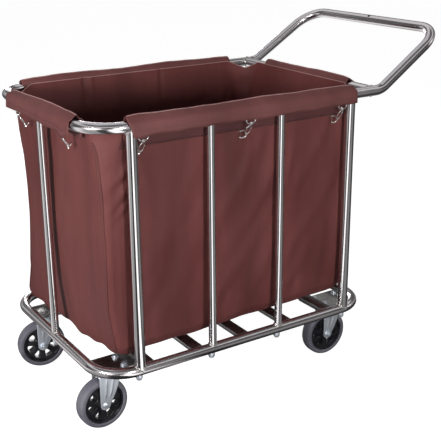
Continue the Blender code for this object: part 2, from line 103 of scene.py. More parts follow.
# ---------------------------------------------------------------- materials
class Graph:
    """A node tree with short ways to add and join nodes."""

    def __init__(self, tree):
        self.tree, self.nodes = tree, tree.nodes

    def add(self, kind, sockets=None, **settings):
        node = self.nodes.new(kind)
        for key, value in settings.items():
            setattr(node, key, value)
        for key, value in (sockets or {}).items():
            self.feed(value, node.inputs[key])
        return node

    def feed(self, value, socket):
        if isinstance(value, bpy.types.NodeSocket):
            self.tree.links.new(value, socket)
        else:
            socket.default_value = value

    def ramp(self, factor, *stops, interpolation="LINEAR"):
        node = self.add("ShaderNodeValToRGB", {0: factor})
        node.color_ramp.interpolation = interpolation
        elements = node.color_ramp.elements
        while len(elements) < len(stops):
            elements.new(0.5)
        for element, (position, colour) in zip(elements, stops):
            element.position = position
            element.color = (*colour, 1.0)
        return node.outputs[0]

    def grey_ramp(self, factor, *stops, **settings):
        return self.ramp(factor, *[(position, (level,) * 3) for position, level in stops], **settings)

    def math(self, operation, *values):
        return self.add("ShaderNodeMath", dict(enumerate(values)), operation=operation).outputs[0]

    def mix(self, factor, first, second, blend="MIX"):
        sockets = {0: factor, 6: first, 7: second}
        return self.add("ShaderNodeMix", sockets, data_type="RGBA", blend_type=blend).outputs[2]

    def place(self, source="Object", scale=(1, 1, 1)):
        coordinates = self.add("ShaderNodeTexCoord").outputs[source]
        return self.add("ShaderNodeMapping", {"Vector": coordinates, "Scale": scale}).outputs[0]

    def noise(self, vector, scale, detail=3.0, roughness=0.5):
        sockets = {"Vector": vector, "Scale": scale, "Detail": detail, "Roughness": roughness}
        return self.add("ShaderNodeTexNoise", sockets).outputs[0]

    def bump(self, height, strength, distance, normal=None):
        sockets = {"Height": height, "Strength": strength, "Distance": distance}
        if normal is not None:
            sockets["Normal"] = normal
        return self.add("ShaderNodeBump", sockets).outputs[0]


class Finish(Graph):
    """The node tree of a new material, which ends in its Principled BSDF."""

    def __init__(self, name):
        self.material = bpy.data.materials.new(name)
        self.material.use_nodes = True
        super().__init__(self.material.node_tree)
        self.surface = self.nodes["Principled BSDF"]

    def set(self, **sockets):
        for key, value in sockets.items():
            self.feed(value, self.surface.inputs[key.replace("_", " ")])


def stainless(name, dark, light, smooth, dull):
    """Stainless tube: fine draw lines along it, faint cloudiness, finger-dull patches."""
    finish = Finish(name)
    lines = finish.noise(finish.place("UV", (260, 3.0, 1)), 1.0, 4.0, 0.65)
    cloud = finish.noise(finish.place("Object", (1, 1, 1)), 9.0, 3.0)
    colour = finish.mix(cloud, (*dark, 1), (*light, 1))
    shade = finish.grey_ramp(lines, (0.30, 0.86), (0.70, 1.0))
    finish.set(Metallic=1.0, Base_Color=finish.mix(1.0, colour, shade, "MULTIPLY"))
    rough = finish.math("ADD", finish.grey_ramp(cloud, (0.35, smooth), (0.7, dull)),
                        finish.grey_ramp(lines, (0.3, 0.04), (0.7, 0.0)))
    finish.set(Roughness=rough, Normal=finish.bump(lines, 0.06, 0.0003))
    return finish.material


def speckled(name, scale, dark, light, rough=0.5, bump=None, detail=2.0, grain=None, ends=(0.3, 0.7), **more):
    """Colour and roughness follow one noise; the bump follows it too, or a finer grain."""
    finish = Finish(name)
    cloud = finish.noise(finish.place(), scale, detail)
    finish.set(Base_Color=finish.ramp(cloud, *zip(ends, (dark, light))), **more)
    finish.set(Roughness=finish.grey_ramp(cloud, *zip(ends, rough)) if isinstance(rough, tuple) else rough)
    if bump:
        relief = finish.noise(finish.place(), grain, 2.0) if grain else cloud
        finish.set(Normal=finish.bump(relief, *bump))
    return finish.material


def sheet_steel():
    """Folded bars and plates: brushed stainless with cross grain."""
    finish = Finish("sheet_steel")
    grain = finish.noise(finish.place("Object", (14, 900, 900)), 1.0, 3.0)
    cloud = finish.noise(finish.place(), 14.0, 3.0)
    finish.set(Metallic=1.0, Base_Color=finish.mix(cloud, (0.42, 0.41, 0.41, 1), (0.60, 0.59, 0.58, 1)))
    finish.set(Roughness=finish.grey_ramp(grain, (0.3, 0.34), (0.7, 0.24)))
    finish.set(Normal=finish.bump(grain, 0.08, 0.0003))
    return finish.material


def tyre_rubber():
    """Grey moulded rubber, dusty on the tread, with fine pitting."""
    finish = Finish("grey_rubber")
    mottle = finish.noise(finish.place(), 70.0, 4.0, 0.6)
    dust = finish.noise(finish.place(), 18.0, 3.0)
    pits = finish.noise(finish.place(), 1400.0, 2.0)
    dusty = finish.grey_ramp(dust, (0.45, 0.0), (0.75, 0.6))
    colour = finish.mix(dusty, (0.135, 0.130, 0.160, 1), (0.215, 0.205, 0.230, 1))
    shade = finish.grey_ramp(mottle, (0.3, 0.86), (0.7, 1.05))
    finish.set(Base_Color=finish.mix(1.0, colour, shade, "MULTIPLY"), Specular_IOR_Level=0.35)
    finish.set(Roughness=finish.grey_ramp(dust, (0.4, 0.48), (0.75, 0.72)))
    finish.set(Normal=finish.bump(pits, 0.12, 0.0003))
    return finish.material


def cloth(name, dark, light):
    """Coated woven polyester: plain weave, soft sheen, slightly uneven dye."""
    finish = Finish(name)
    uv = finish.place("UV", (1, 1, 1))
    pitch = 2 * math.pi / 0.0011
    split = finish.add("ShaderNodeSeparateXYZ", {0: uv})
    over = finish.math("SINE", finish.math("MULTIPLY", split.outputs[0], pitch))
    under = finish.math("SINE", finish.math("MULTIPLY", split.outputs[1], pitch))
    weave = finish.math("MULTIPLY", over, under)
    slub = finish.noise(finish.place("UV", (900, 60, 1)), 1.0, 2.0)
    patch = finish.noise(finish.place(), 5.0, 4.0, 0.55)
    tone = finish.mix(finish.grey_ramp(patch, (0.32, 0.0), (0.68, 1.0)), (*dark, 1), (*light, 1))
    thread = finish.grey_ramp(finish.math("MULTIPLY_ADD", weave, 0.5, 0.5), (0.0, 0.90), (1.0, 1.04))
    colour = finish.mix(1.0, tone, thread, "MULTIPLY")
    colour = finish.mix(1.0, colour, finish.grey_ramp(slub, (0.3, 0.94), (0.7, 1.04)), "MULTIPLY")
    streak = finish.noise(finish.place("Object", (15, 15, 2.2)), 1.0, 4.0, 0.6)
    colour = finish.mix(1.0, colour, finish.grey_ramp(streak, (0.30, 0.84), (0.70, 1.12)), "MULTIPLY")
    finish.set(Base_Color=colour, Sheen_Weight=0.07, Sheen_Roughness=0.35, Specular_IOR_Level=0.25)
    finish.surface.inputs["Sheen Tint"].default_value = (0.75, 0.55, 0.52, 1)
    finish.set(Roughness=finish.grey_ramp(patch, (0.3, 0.52), (0.7, 0.66)))
    crease = finish.bump(finish.noise(finish.place("Object", (1, 1, 0.6)), 28.0, 3.0, 0.5), 0.30, 0.004)
    finish.set(Normal=finish.bump(weave, 0.25, 0.00025, crease))
    return finish.material


STEEL = stainless("polished_tube", (0.66, 0.635, 0.640), (0.82, 0.80, 0.805), 0.10, 0.15)
SATIN = stainless("satin_tube", (0.64, 0.600, 0.615), (0.79, 0.750, 0.768), 0.14, 0.20)
SHEET, RUBBER = sheet_steel(), tyre_rubber()
WELD = speckled("weld_bead", 420.0, (0.38, 0.36, 0.34), (0.66, 0.64, 0.61), (0.45, 0.3), (0.5, 0.0006),
                Metallic=1.0)
ZINC = speckled("zinc_plate", 40.0, (0.66, 0.71, 0.78), (0.78, 0.82, 0.88), (0.40, 0.32), (0.04, 0.0002),
                detail=3.0, grain=500.0, Metallic=0.7)
WIRE = speckled("nickel_wire", 240.0, (0.62, 0.60, 0.58), (0.86, 0.85, 0.83), (0.24, 0.12), (0.1, 0.0002),
                Metallic=1.0)
HUB = speckled("black_moulded_plastic", 40.0, (0.010, 0.010, 0.013), (0.032, 0.031, 0.036), (0.30, 0.50),
               (0.10, 0.0002), detail=4.0, grain=900.0, ends=(0.4, 0.8))
PLUG = speckled("dark_plug", 1500.0, (0.02, 0.02, 0.022), (0.05, 0.05, 0.052), 0.42, (0.1, 0.0002))
THREAD = speckled("sewing_thread", 1800.0, (0.060, 0.024, 0.024), (0.17, 0.085, 0.08), 0.6, (0.3, 0.0002))
CLOTH = cloth("bag_cloth", (0.120, 0.031, 0.029), (0.154, 0.044, 0.041))
# the flaps take a lighter, paler copy of the bag cloth: painted light where they face up
CLOTH_FLAP_PAINTED_LIGHTER = cloth("flap_cloth_painted_lighter", (0.126, 0.040, 0.039), (0.168, 0.060, 0.057))
# a much lighter copy of the bag cloth, laid as thin tubes along the flap ridges and the bag's mouth: a painted
# highlight
CLOTH_PAINTED_HIGHLIGHT = cloth("painted_highlight_cloth", (0.330, 0.170, 0.165), (0.450, 0.260, 0.250))
CLOTH_BAND = cloth("band_cloth", (0.082, 0.024, 0.026), (0.104, 0.033, 0.034))


# ---------------------------------------------------------------- mesh tools
def rotation(degrees, axis="Z"):
    return Matrix.Rotation(math.radians(degrees), 4, axis)


def shift(*place):
    return Matrix.Translation(place)


def polar(radius, degrees):
    return radius * math.cos(math.radians(degrees)), radius * math.sin(math.radians(degrees))


def rise(value, start, span):
    """0 up to start, 1 from start + span, and straight between; a negative span falls instead."""
    return np.clip((value - start) / span, 0, 1)


def rounded(corners, radii, steps=14, closed=True):
    """Corner points joined by straight runs, each corner an arc of its radius."""
    points, count = [], len(corners)
    for index, corner in enumerate(corners):
        here = Vector(corner)
        if not closed and index in (0, count - 1):
            points.append(here)
            continue
        back = (Vector(corners[index - 1]) - here).normalized()
        ahead = (Vector(corners[(index + 1) % count]) - here).normalized()
        half = back.angle(ahead) / 2
        radius = radii[index]
        centre = here + (back + ahead).normalized() * (radius / math.sin(half))
        start = here + back * (radius / math.tan(half)) - centre
        axis = start.cross(here + ahead * (radius / math.tan(half)) - centre).normalized()
        for step in range(steps + 1):
            turn = Matrix.Rotation((math.pi - 2 * half) * step / steps, 3, axis)
            points.append(centre + turn @ start)
    return points


def grid_mesh(name, rows, around=False, along=False, caps=False):
    """A mesh over rows of points, with UVs in metres: U round each row, V from row to row."""
    rows = np.asarray(rows, float)
    count, width = rows.shape[:2]
    bm = bmesh.new()
    layer = bm.loops.layers.uv.new("metres")
    verts = [[bm.verts.new(point) for point in row] for row in rows]
    u = np.zeros(width + 1)
    middle = rows[count // 2]
    u[1:width] = np.cumsum(np.linalg.norm(np.diff(middle, axis=0), axis=1))
    u[width] = u[width - 1] + np.linalg.norm(middle[0] - middle[-1])
    step = np.linalg.norm(np.diff(rows, axis=0), axis=2).mean(axis=1)
    v = np.concatenate([[0.0], np.cumsum(step), [np.sum(step) + np.linalg.norm(rows[-1, 0] - rows[0, 0])]])
    for i in range(count if along else count - 1):
        for j in range(width if around else width - 1):
            low, high = verts[i], verts[(i + 1) % count]
            k = (j + 1) % width
            face = bm.faces.new((low[j], low[k], high[k], high[j]))
            for loop, spot in zip(face.loops, ((j, i), (j + 1, i), (j + 1, i + 1), (j, i + 1))):
                loop[layer].uv = (u[spot[0]], v[spot[1]])
    if caps:
        bm.faces.new(verts[0])
        bm.faces.new(verts[-1])
    bmesh.ops.recalc_face_normals(bm, faces=bm.faces[:])
    mesh = bpy.data.meshes.new(name)
    bm.to_mesh(mesh)
    bm.free()
    return mesh


def piece(name, mesh, material, body="trolley", at=HERE, stands_for=(), sharp=40.0):
    """Puts a mesh in the scene, paints it and makes it ride on a body."""
    mesh.name = name
    obj = bpy.data.objects.new(name, mesh)
    bpy.context.collection.objects.link(obj)
    mesh.transform(at)
    mesh.materials.clear()
    mesh.materials.append(material)
    mesh.shade_smooth()
    if sharp:
        mesh.set_sharp_from_angle(angle=math.radians(sharp))
    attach(obj, body)
    if stands_for:
        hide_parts(*stands_for)
    return obj


def frames_along(points, closed):
    """Tangent, normal and side vectors that turn as little as they can along a path."""
    points = np.asarray(points, float)
    if closed:
        tangents = np.roll(points, -1, 0) - np.roll(points, 1, 0)
    else:
        tangents = np.gradient(points, axis=0)
    tangents /= np.linalg.norm(tangents, axis=1)[:, None]
    guess = np.array((0.0, 0.0, 1.0)) if abs(tangents[0][2]) < 0.9 else np.array((1.0, 0.0, 0.0))
    normals = []
    for tangent in tangents:
        guess = guess - tangent * (guess @ tangent)
        guess = guess / np.linalg.norm(guess)
        normals.append(guess)
    normals = np.array(normals)
    return points, tangents, normals, np.cross(tangents, normals)


def tube(name, points, radius, sides=32, closed=False, caps=True):
    points, _, normals, across = frames_along(points, closed)
    angles = np.linspace(0, 2 * math.pi, sides, endpoint=False)
    circle = radius * np.cos(angles)[None, :, None] * normals[:, None] + \
        radius * np.sin(angles)[None, :, None] * across[:, None]
    return grid_mesh(name, points[:, None] + circle, around=True, along=closed, caps=caps and not closed)


def lathe(name, profile, sides=96, closed=True):
    """Turned about the Y axis; profile is a list of (radius, y)."""
    profile = np.asarray(profile, float)
    angles = np.linspace(0, 2 * math.pi, sides, endpoint=False)
    rows = np.stack([np.outer(np.sin(angles), profile[:, 0]),
                     np.broadcast_to(profile[:, 1], (sides, len(profile))),
                     -np.outer(np.cos(angles), profile[:, 0])], axis=2)
    return grid_mesh(name, rows, around=closed, along=True)


def turned(name, profile, sides=32):
    """A turned solid whose profile starts and ends on the axis."""
    mesh = lathe(name, profile, sides, closed=False)
    bm = bmesh.new()
    bm.from_mesh(mesh)
    bmesh.ops.remove_doubles(bm, verts=bm.verts[:], dist=1e-6)
    bm.to_mesh(mesh)
    bm.free()
    return mesh


def merged(name, *parts):
    """Several meshes, each with its own matrix or None, as one mesh."""
    bm = bmesh.new()
    for mesh, matrix in parts:
        before = len(bm.verts)
        bm.from_mesh(mesh)
        bm.verts.ensure_lookup_table()
        if matrix is not None:
            bmesh.ops.transform(bm, matrix=matrix, verts=bm.verts[before:])
    mesh = bpy.data.meshes.new(name)
    bm.to_mesh(mesh)
    bm.free()
    return mesh


def round_profile(points, radius, steps=4, closed=True):
    """A closed 2-D outline with every corner rounded, as (a, b) pairs."""
    flat = [(a, b, 0.0) for a, b in points]
    radii = radius if isinstance(radius, (list, tuple)) else [radius] * len(flat)
    return [(p.x, p.y) for p in rounded(flat, radii, steps, closed)]


def prism(name, outline, low, high, soft=0.0006):
    """An XZ outline extruded along Y, with softened rims."""
    outline = np.asarray(outline, float)
    centre = outline.mean(axis=0)
    rows = []
    for y, inset in ((low, soft), (low + 0.3 * soft, 0.3 * soft), (low + soft, 0.0),
                     (high - soft, 0.0), (high - 0.3 * soft, 0.3 * soft), (high, soft)):
        away = outline - centre
        shrunk = outline - away / np.maximum(np.linalg.norm(away, axis=1)[:, None], 1e-6) * inset
        rows.append(np.column_stack([shrunk[:, 0], np.full(len(outline), y), shrunk[:, 1]]))
    return grid_mesh(name, rows, around=True, caps=True)


def hexagon(name, across_flats, height):
    """Hex head or nut along -Y from y = 0, with chamfered corners."""
    corners = [Vector((x, 0, z)) for x, z in (polar(1, 60 * index) for index in range(7))]
    rows = []
    for y in (0.0, -height * 0.82, -height):
        ring = []
        for a, b in zip(corners, corners[1:]):
            for share in (0.0, 0.25, 0.5, 0.75):
                spot = a.lerp(b, share)
                if y == -height:
                    spot = spot.normalized() * min(spot.length, 0.9)
                spot = spot * across_flats / math.sqrt(3)
                ring.append((spot.x, y, spot.z))
        rows.append(ring)
    return grid_mesh(name, rows, around=True, caps=True)


def screw_end(name, radius, length):
    """A stub of thread along -Y with a chamfered end."""
    profile = [(0.0, 0.0)]
    pitch, depth = 0.00125, 0.00045
    for turn in range(int(length / pitch)):
        y = -turn * pitch
        profile += [(radius, y - 0.0002), (radius - depth, y - pitch * 0.55)]
    profile += [(radius * 0.8, -length), (0.0, -length)]
    return turned(name, profile, 24)


# ---------------------------------------------------------------- tube frame
def ring_path(z, length=HALF_LENGTH, width=HALF_WIDTH, radius=CORNER_RADIUS):
    corners = [(-length, width, z), (-length, -width, z), (length, -width, z), (length, width, z)]
    return spread(rounded(corners, [radius] * 4, 16), 0.02)


def spread(points, longest):
    """The same closed path with its long straight runs cut into shorter ones."""
    result = []
    for index, here in enumerate(points):
        ahead = points[(index + 1) % len(points)]
        cuts = max(1, math.ceil((ahead - here).length / longest))
        result += [here.lerp(ahead, cut / cuts) for cut in range(cuts)]
    return result


def rail_path():
    width, top = HALF_WIDTH, HANDLE_HALF_WIDTH
    corners = [(-HALF_LENGTH, -width, RAIL_Z), (HANDLE_BEND_X, -width, RAIL_Z), (HANDLE_X, -top, HANDLE_Z),
               (HANDLE_X, top, HANDLE_Z), (HANDLE_BEND_X, width, RAIL_Z), (-HALF_LENGTH, width, RAIL_Z)]
    radii = [CORNER_RADIUS, HANDLE_BEND_RADIUS, HANDLE_CORNER_RADIUS,
             HANDLE_CORNER_RADIUS, HANDLE_BEND_RADIUS, CORNER_RADIUS]
    return spread(rounded(corners, radii, 16), 0.02)


def bead_round_post(post_radius, tube_radius, up=1):
    """Weld bead where an upright post meets a level tube that runs along X."""
    points = []
    for step in range(48):
        angle = 2 * math.pi * step / 48
        lift = math.sqrt(max(tube_radius ** 2 - (post_radius * math.sin(angle)) ** 2, 0.0))
        reach = post_radius + 0.0007 + 0.0002 * math.sin(step * 2.1)
        points.append((reach * math.cos(angle), reach * math.sin(angle), up * (lift + 0.0006)))
    return tube("bead", points, 0.0017, 8, closed=True)


def build_frame():
    piece("base_ring_tube", tube("ring", ring_path(BASE_Z), TUBE_R, 40, closed=True), SATIN,
          stands_for=["base_ring"])
    piece("top_rail_tube", tube("rail", rail_path(), TUBE_R, 40, closed=True), SATIN, stands_for=["top_rail"])
    run = [(CROSS_TUBE_X, y, RAIL_Z) for y in np.linspace(-HALF_WIDTH + 0.004, HALF_WIDTH - 0.004, 24)]
    piece("rail_cross_tube_fine", tube("cross", run, TUBE_R, 40), SATIN,
          stands_for=["rail_cross_tube"])

    posts, beads = [], []
    for side, sign in (("left", -1), ("right", 1)):
        for end, x in zip(("front", "rear"), CORNER_POST_X):
            posts.append((f"corner_post_{end}_{side}", x, sign * HALF_WIDTH, TUBE_R, 0))
        for end, x in zip(("front", "rear"), SIDE_POST_X):
            posts.append((f"side_post_{end}_{side}", x, sign * HALF_WIDTH, POST_R, 0))
    posts.append(("end_post_front", -HALF_LENGTH, 0.0, POST_R, 90))
    posts.append(("end_post_rear", REAR_POST_X, 0.0, POST_R, 90))
    for name, x, y, radius, turn in posts:
        run = [(x, y, z) for z in np.linspace(BASE_Z + 0.002, RAIL_Z - 0.002, 28)]
        piece(f"{name}_tube", tube(name, run, radius, 36), STEEL, stands_for=[name])
        for z, up in ((BASE_Z, 1), (RAIL_Z, -1)):
            spin = rotation(turn)
            beads.append((bead_round_post(radius, TUBE_R, up), shift(x, y, z) @ spin))
    # the cross tube runs into the rails from inside
    for sign in (-1, 1):
        quarter = rotation(90 * sign, "X")
        beads.append((bead_round_post(TUBE_R, TUBE_R, 1),
                      shift(CROSS_TUBE_X, sign * HALF_WIDTH, RAIL_Z) @ quarter))
    piece("frame_welds", merged("beads", *beads), WELD)


def build_base():
    """Crossbars, the fasteners under the base and the plug in the grip."""
    half, thick = CROSSBAR_WIDTH / 2, CROSSBAR_THICKNESS
    section = round_profile([(half, -thick), (half, 0.0), (-half, 0.0), (-half, -thick)], 0.0028, 5)
    for index in range(5):
        x = (index - 2) * CROSSBAR_PITCH
        mesh = prism("bar", section, -HALF_WIDTH + 0.006, HALF_WIDTH - 0.006)
        where = HERE @ shift(x, 0, CROSSBAR_TOP)
        piece(f"crossbar_{index + 1}_fine", mesh, SHEET, at=where,
              stands_for=[f"base_crossbar_{index + 1}"])

    zinc = []
    for end, side, _ in CASTERS.values():
        for dx in (-0.034, 0.034):
            for dy in (-0.0225, 0.0225):
                spot = shift(end * CASTER_X + dx, side * CASTER_Y + dy, PLATE_TOP)
                rise = rotation(-90, "X")
                zinc.append((bolt_head(0.013, 0.0052), spot @ rise))
    piece("caster_plate_bolts", merged("bolts", *zinc), ZINC)

    # a domed nut under every post
    nuts = []
    for sign in (-1, 1):
        for x in CORNER_POST_X + SIDE_POST_X:
            nuts.append((domed_nut(), shift(x - 0.004, sign * HALF_WIDTH, BASE_Z - TUBE_R)))
    nuts.append((domed_nut(), shift(-HALF_LENGTH, 0, BASE_Z - TUBE_R)))
    piece("post_foot_nuts", merged("nuts", *nuts), ZINC)

    lift = math.atan2(HANDLE_Z - RAIL_Z, HANDLE_X - HANDLE_BEND_X)
    normal = Vector((-math.sin(lift), 0, math.cos(lift)))
    profile = [(0, 0.0012), (0.0030, 0.0012), (0.0040, 0.0006), (0.0042, -0.001), (0, -0.001)]
    plug = turned("plug", profile, 24)
    turn = Vector((0, 1, 0)).rotation_difference(normal).to_matrix().to_4x4()
    spot = Vector((HANDLE_X, 0, HANDLE_Z)) + normal * TUBE_R
    piece("grip_plug", plug, PLUG, at=HERE @ Matrix.Translation(spot) @ turn)


def bolt_head(across, height):
    """Flanged hex head, pointing along -Y."""
    wide, narrow = across * 0.68, across * 0.55
    flange = turned("flange", [(0, 0), (wide, 0), (wide, -0.0009), (narrow, -0.0014), (0, -0.0014)], 28)
    return merged("head", (flange, None), (hexagon("hex", across, height), None))


def domed_nut():
    """Cap nut hanging under a tube, z = 0 at the tube's lowest line."""
    profile = [(0.0, 0.002), (0.0078, 0.002), (0.0082, 0.0), (0.0082, -0.0055), (0.0074, -0.0068),
               (0.0070, -0.0082), (0.0058, -0.0104), (0.0034, -0.0118), (0.0, -0.0122)]
    mesh = turned("cap", profile, 32)
    mesh.transform(rotation(90, "X"))
    return mesh


# ---------------------------------------------------------------- casters
UPRIGHT = rotation(90, "X")
HALF_TURN = rotation(180)
AXLE_Z = WHEEL_RADIUS
KNEE_Z = 0.1389
CROWN_Z = 0.1354
LEG_END_R = 0.0130
LEG_BACK_X = -0.0305
LEG_FRONT_X = 0.0245


def leg_edges(z):
    """Back and front x of a fork leg at a height."""
    if z < AXLE_Z:
        reach = math.sqrt(max(LEG_END_R ** 2 - (AXLE_Z - z) ** 2, 1e-8))
        return -CASTER_TRAIL - reach, -CASTER_TRAIL + reach
    share = min((z - AXLE_Z) / (CROWN_Z - AXLE_Z), 1.0)
    front = -CASTER_TRAIL + LEG_END_R
    bulge = 0.0035 * math.sin(math.pi * share)
    return LEG_BACK_X, front + (LEG_FRONT_X - front) * share ** 0.9 + bulge


def fork_strip():
    """One pressed strip: up the left leg, across the crown and down the right leg."""
    outer, bend = LEG_INNER + LEG_THICKNESS, 0.0060
    line = []
    for angle in np.linspace(-88, 0, 12):
        line.append((-outer, AXLE_Z + LEG_END_R * math.sin(math.radians(angle)), -1.0, 0.0))
    for z in np.linspace(AXLE_Z, KNEE_Z - bend, 26)[1:]:
        line.append((-outer, z, -1.0, 0.0))
    for angle in np.linspace(180, 90, 9)[1:]:
        c, s = polar(1, angle)
        line.append((-outer + bend + bend * c, KNEE_Z - bend + bend * s, c, s))
    line.append((0.0, KNEE_Z, 0.0, 1.0))
    line += [(-y, z, -ny, nz) for y, z, ny, nz in reversed(line[:-1])]
    shares = np.concatenate([[0.0, 0.012, 0.035], np.linspace(0.08, 0.92, 26), [0.965, 0.988, 1.0]])
    rows = []
    for y, z, ny, nz in line:
        back, front = leg_edges(z)
        row_out, row_in = [], []
        leg = min(1.0, max(0.0, (z - 0.076) / 0.012)) * min(1.0, max(0.0, (0.131 - z) / 0.010))
        for share in shares:
            x = back + (front - back) * share
            edge = min(share, 1 - share) * (front - back)
            soft = 0.0007 * (1 - min(1.0, edge / 0.0009)) ** 2
            rib = sum(math.exp(-(((share - spot) * (front - back)) / 0.0022) ** 2) for spot in (0.34, 0.66))
            press = 0.0012 * leg * min(rib, 1.0)
            row_out.append((x, y + ny * (press - soft), z + nz * (press - soft)))
            back_off = LEG_THICKNESS - press - soft
            row_in.append((x, y - ny * back_off, z - nz * back_off))
        rows.append(row_out + row_in[::-1])
    return grid_mesh("fork", rows, around=True, caps=True)


def hub_web():
    """Deep web of the wheel with seven rounded windows cut through it."""
    curve = bpy.data.curves.new("web", "CURVE")
    curve.dimensions, curve.fill_mode = "2D", "BOTH"
    curve.extrude, curve.bevel_depth, curve.bevel_resolution, curve.offset = 0.0082, 0.0012, 3, -0.0012
    outlines = [[polar(0.0450, a) for a in np.linspace(0, 360, 96, endpoint=False)],
                [polar(0.0115, a) for a in np.linspace(0, -360, 48, endpoint=False)]]
    window = ((0.0205, 8), (0.0392, 15), (0.0408, 0), (0.0392, -15), (0.0205, -8))
    for index in range(7):
        corners = [polar(radius, 90 + 360 * index / 7 + half) for radius, half in window]
        outlines.append(round_profile(corners, [0.0018, 0.0030, 0.012, 0.0030, 0.0018], 5))
    for outline in outlines:
        spline = curve.splines.new("POLY")
        spline.points.add(len(outline) - 1)
        for point, (a, b) in zip(spline.points, outline):
            point.co = (a, b, 0, 1)
        spline.use_cyclic_u = True
    holder = bpy.data.objects.new("web", curve)
    bpy.context.collection.objects.link(holder)
    bpy.context.view_layer.update()
    mesh = bpy.data.meshes.new_from_object(holder.evaluated_get(bpy.context.evaluated_depsgraph_get()))
    bpy.data.objects.remove(holder)
    mesh.transform(UPRIGHT)
    return mesh


def build_caster(name, end, side, turn):
    where = HERE @ shift(end * CASTER_X, side * CASTER_Y, 0) @ \
        rotation(turn)
    outline = round_profile([(0.045, 0.034), (-0.045, 0.034), (-0.045, -0.034), (0.045, -0.034)], 0.0085, 6)
    race = [(0.0, 0.1490), (0.0288, 0.1490), (0.0288, 0.1476), (0.0276, 0.1462), (0.0250, 0.1453),
            (0.0, 0.1452)]
    pin = [(0.0, 0.150), (0.0115, 0.150), (0.0115, 0.1328), (0.0104, 0.1318), (0.0, 0.1317)]
    plate = merged("plate", (prism("slab", outline, 0.1487, 0.1517), UPRIGHT),
                   (turned("race", race, 64), UPRIGHT), (turned("pin", pin, 40), UPRIGHT))
    piece(f"{name}_plate_fine", plate, ZINC, at=where, stands_for=[f"{name}_caster_plate"])

    head = [(0.0122, 0.1386), (0.0122, 0.1444), (0.0140, 0.1448), (0.0270, 0.1449), (0.0291, 0.1443),
            (0.0300, 0.1430), (0.0303, 0.1405), (0.0308, 0.1386)]
    fork = merged("fork", (fork_strip(), None), (lathe("head", head, 72), UPRIGHT))
    piece(f"{name}_fork_fine", fork, ZINC, body=f"{name}_fork", at=where,
          stands_for=[f"{name}_caster_fork"])

    face = -(LEG_INNER + LEG_THICKNESS)
    shank = turned("shank", [(0, -0.0225), (0.0040, -0.0225), (0.0040, 0.0225), (0, 0.0225)], 24)
    dome = turned("dome", [(0, face - 0.0040), (0.0022, face - 0.0038), (0.0042, face - 0.0031),
                           (0.0060, face - 0.0018), (0.0068, face - 0.0006), (0.0068, face), (0, face)], 40)
    washer = turned("washer", [(0, face - 0.0014), (0.0082, face - 0.0014), (0.0086, face - 0.0010),
                               (0.0086, face), (0, face)], 40)
    nut_at = shift(0, face - 0.0013, 0)
    nut = merged("nut", (washer, None), (hexagon("hex", 0.0125, 0.0056), nut_at),
                 (screw_end("thread", 0.0039, 0.0085), nut_at))
    outward = None if side < 0 else HALF_TURN
    inward = HALF_TURN if side < 0 else None
    head_side, nut_side = (outward, inward) if end < 0 else (inward, outward)
    bolt = merged("bolt", (shank, None), (dome, head_side), (nut, nut_side))
    bolt.transform(shift(-CASTER_TRAIL, 0, AXLE_Z))
    piece(f"{name}_axle_fine", bolt, ZINC, body=f"{name}_fork", at=where,
          stands_for=[f"{name}_axle_bolt"], sharp=32)

    axle = where @ shift(-CASTER_TRAIL, 0, AXLE_Z)
    boss = [(0.0042, -0.0168), (0.0105, -0.0168), (0.0118, -0.0160), (0.0128, -0.0060),
            (0.0140, 0.0), (0.0128, 0.0060), (0.0118, 0.0160), (0.0105, 0.0168), (0.0042, 0.0168)]
    rim = [(0.0448, -0.0125), (0.0456, -0.0140), (0.0496, -0.0146), (0.0501, -0.0138), (0.0501, 0.0138),
           (0.0496, 0.0146), (0.0456, 0.0140), (0.0448, 0.0125), (0.0438, 0.0045), (0.0438, -0.0045)]
    hub = merged("hub", (lathe("boss", boss, 56), None), (lathe("rim", rim, 128), None), (hub_web(), None))
    piece(f"{name}_hub_fine", hub, HUB, body=f"{name}_wheel", at=axle,
          stands_for=[f"{name}_wheel_hub"], sharp=35)

    half = [(0.0499, -0.0150), (0.0506, -0.0157), (0.0522, -0.0160), (0.0545, -0.0160), (0.0566, -0.0158),
            (0.0584, -0.0154), (0.0598, -0.0146), (0.0609, -0.0133), (0.0617, -0.0115), (0.0622, -0.0090),
            (0.0625, -0.0050), (0.0625, -0.0002)]
    tyre = lathe("tyre", half + [(r, -y) for r, y in reversed(half)], 144)
    piece(f"{name}_tyre_fine", tyre, RUBBER, body=f"{name}_wheel", at=axle,
          stands_for=[f"{name}_tyre"], sharp=0)


# ---------------------------------------------------------------- snap hooks and their rings
HOOK_HALF = 0.0055
HOOK_BOTTOM = -0.0269
HOOK_TIP = -0.0259
GATE_PIVOT = -0.0144
WIRE_R = 0.0012


def smooth_path(points, step=0.0012):
    """Catmull-Rom curve through points, at an even step."""
    points = [Vector(p) for p in points]
    ends = [points[0] * 2 - points[1]] + points + [points[-1] * 2 - points[-2]]
    result = []
    for a, b, c, d in zip(ends, ends[1:], ends[2:], ends[3:]):
        cuts = max(1, round((c - b).length / step))
        for cut in range(cuts):
            t = cut / cuts
            result.append(0.5 * (2 * b + (c - a) * t + (2 * a - 5 * b + 4 * c - d) * t ** 2
                                 + (3 * b - a - 3 * c + d) * t ** 3))
    return result + [points[-1]]


def hook_wire():
    half, eye, neck = HOOK_HALF, 0.0036, 0.0017
    shoulder = [(half, -0.0132), (half - 0.0004, -0.0108), (neck + 0.0014, -0.0080), (neck, -0.0056)]
    opening = math.degrees(math.asin(neck / eye))
    points = shoulder + [polar(eye, angle) for angle in np.linspace(-90 + opening, 270 - opening, 13)]
    points += [(-x, z) for x, z in reversed(shoulder)]
    points += [(x, HOOK_BOTTOM + z) for x, z in (polar(half, angle) for angle in np.linspace(180, 360, 11))]
    points.append((half, HOOK_TIP))
    return tube("hook", smooth_path([(x, 0, z) for x, z in points], 0.0008), WIRE_R, 12)


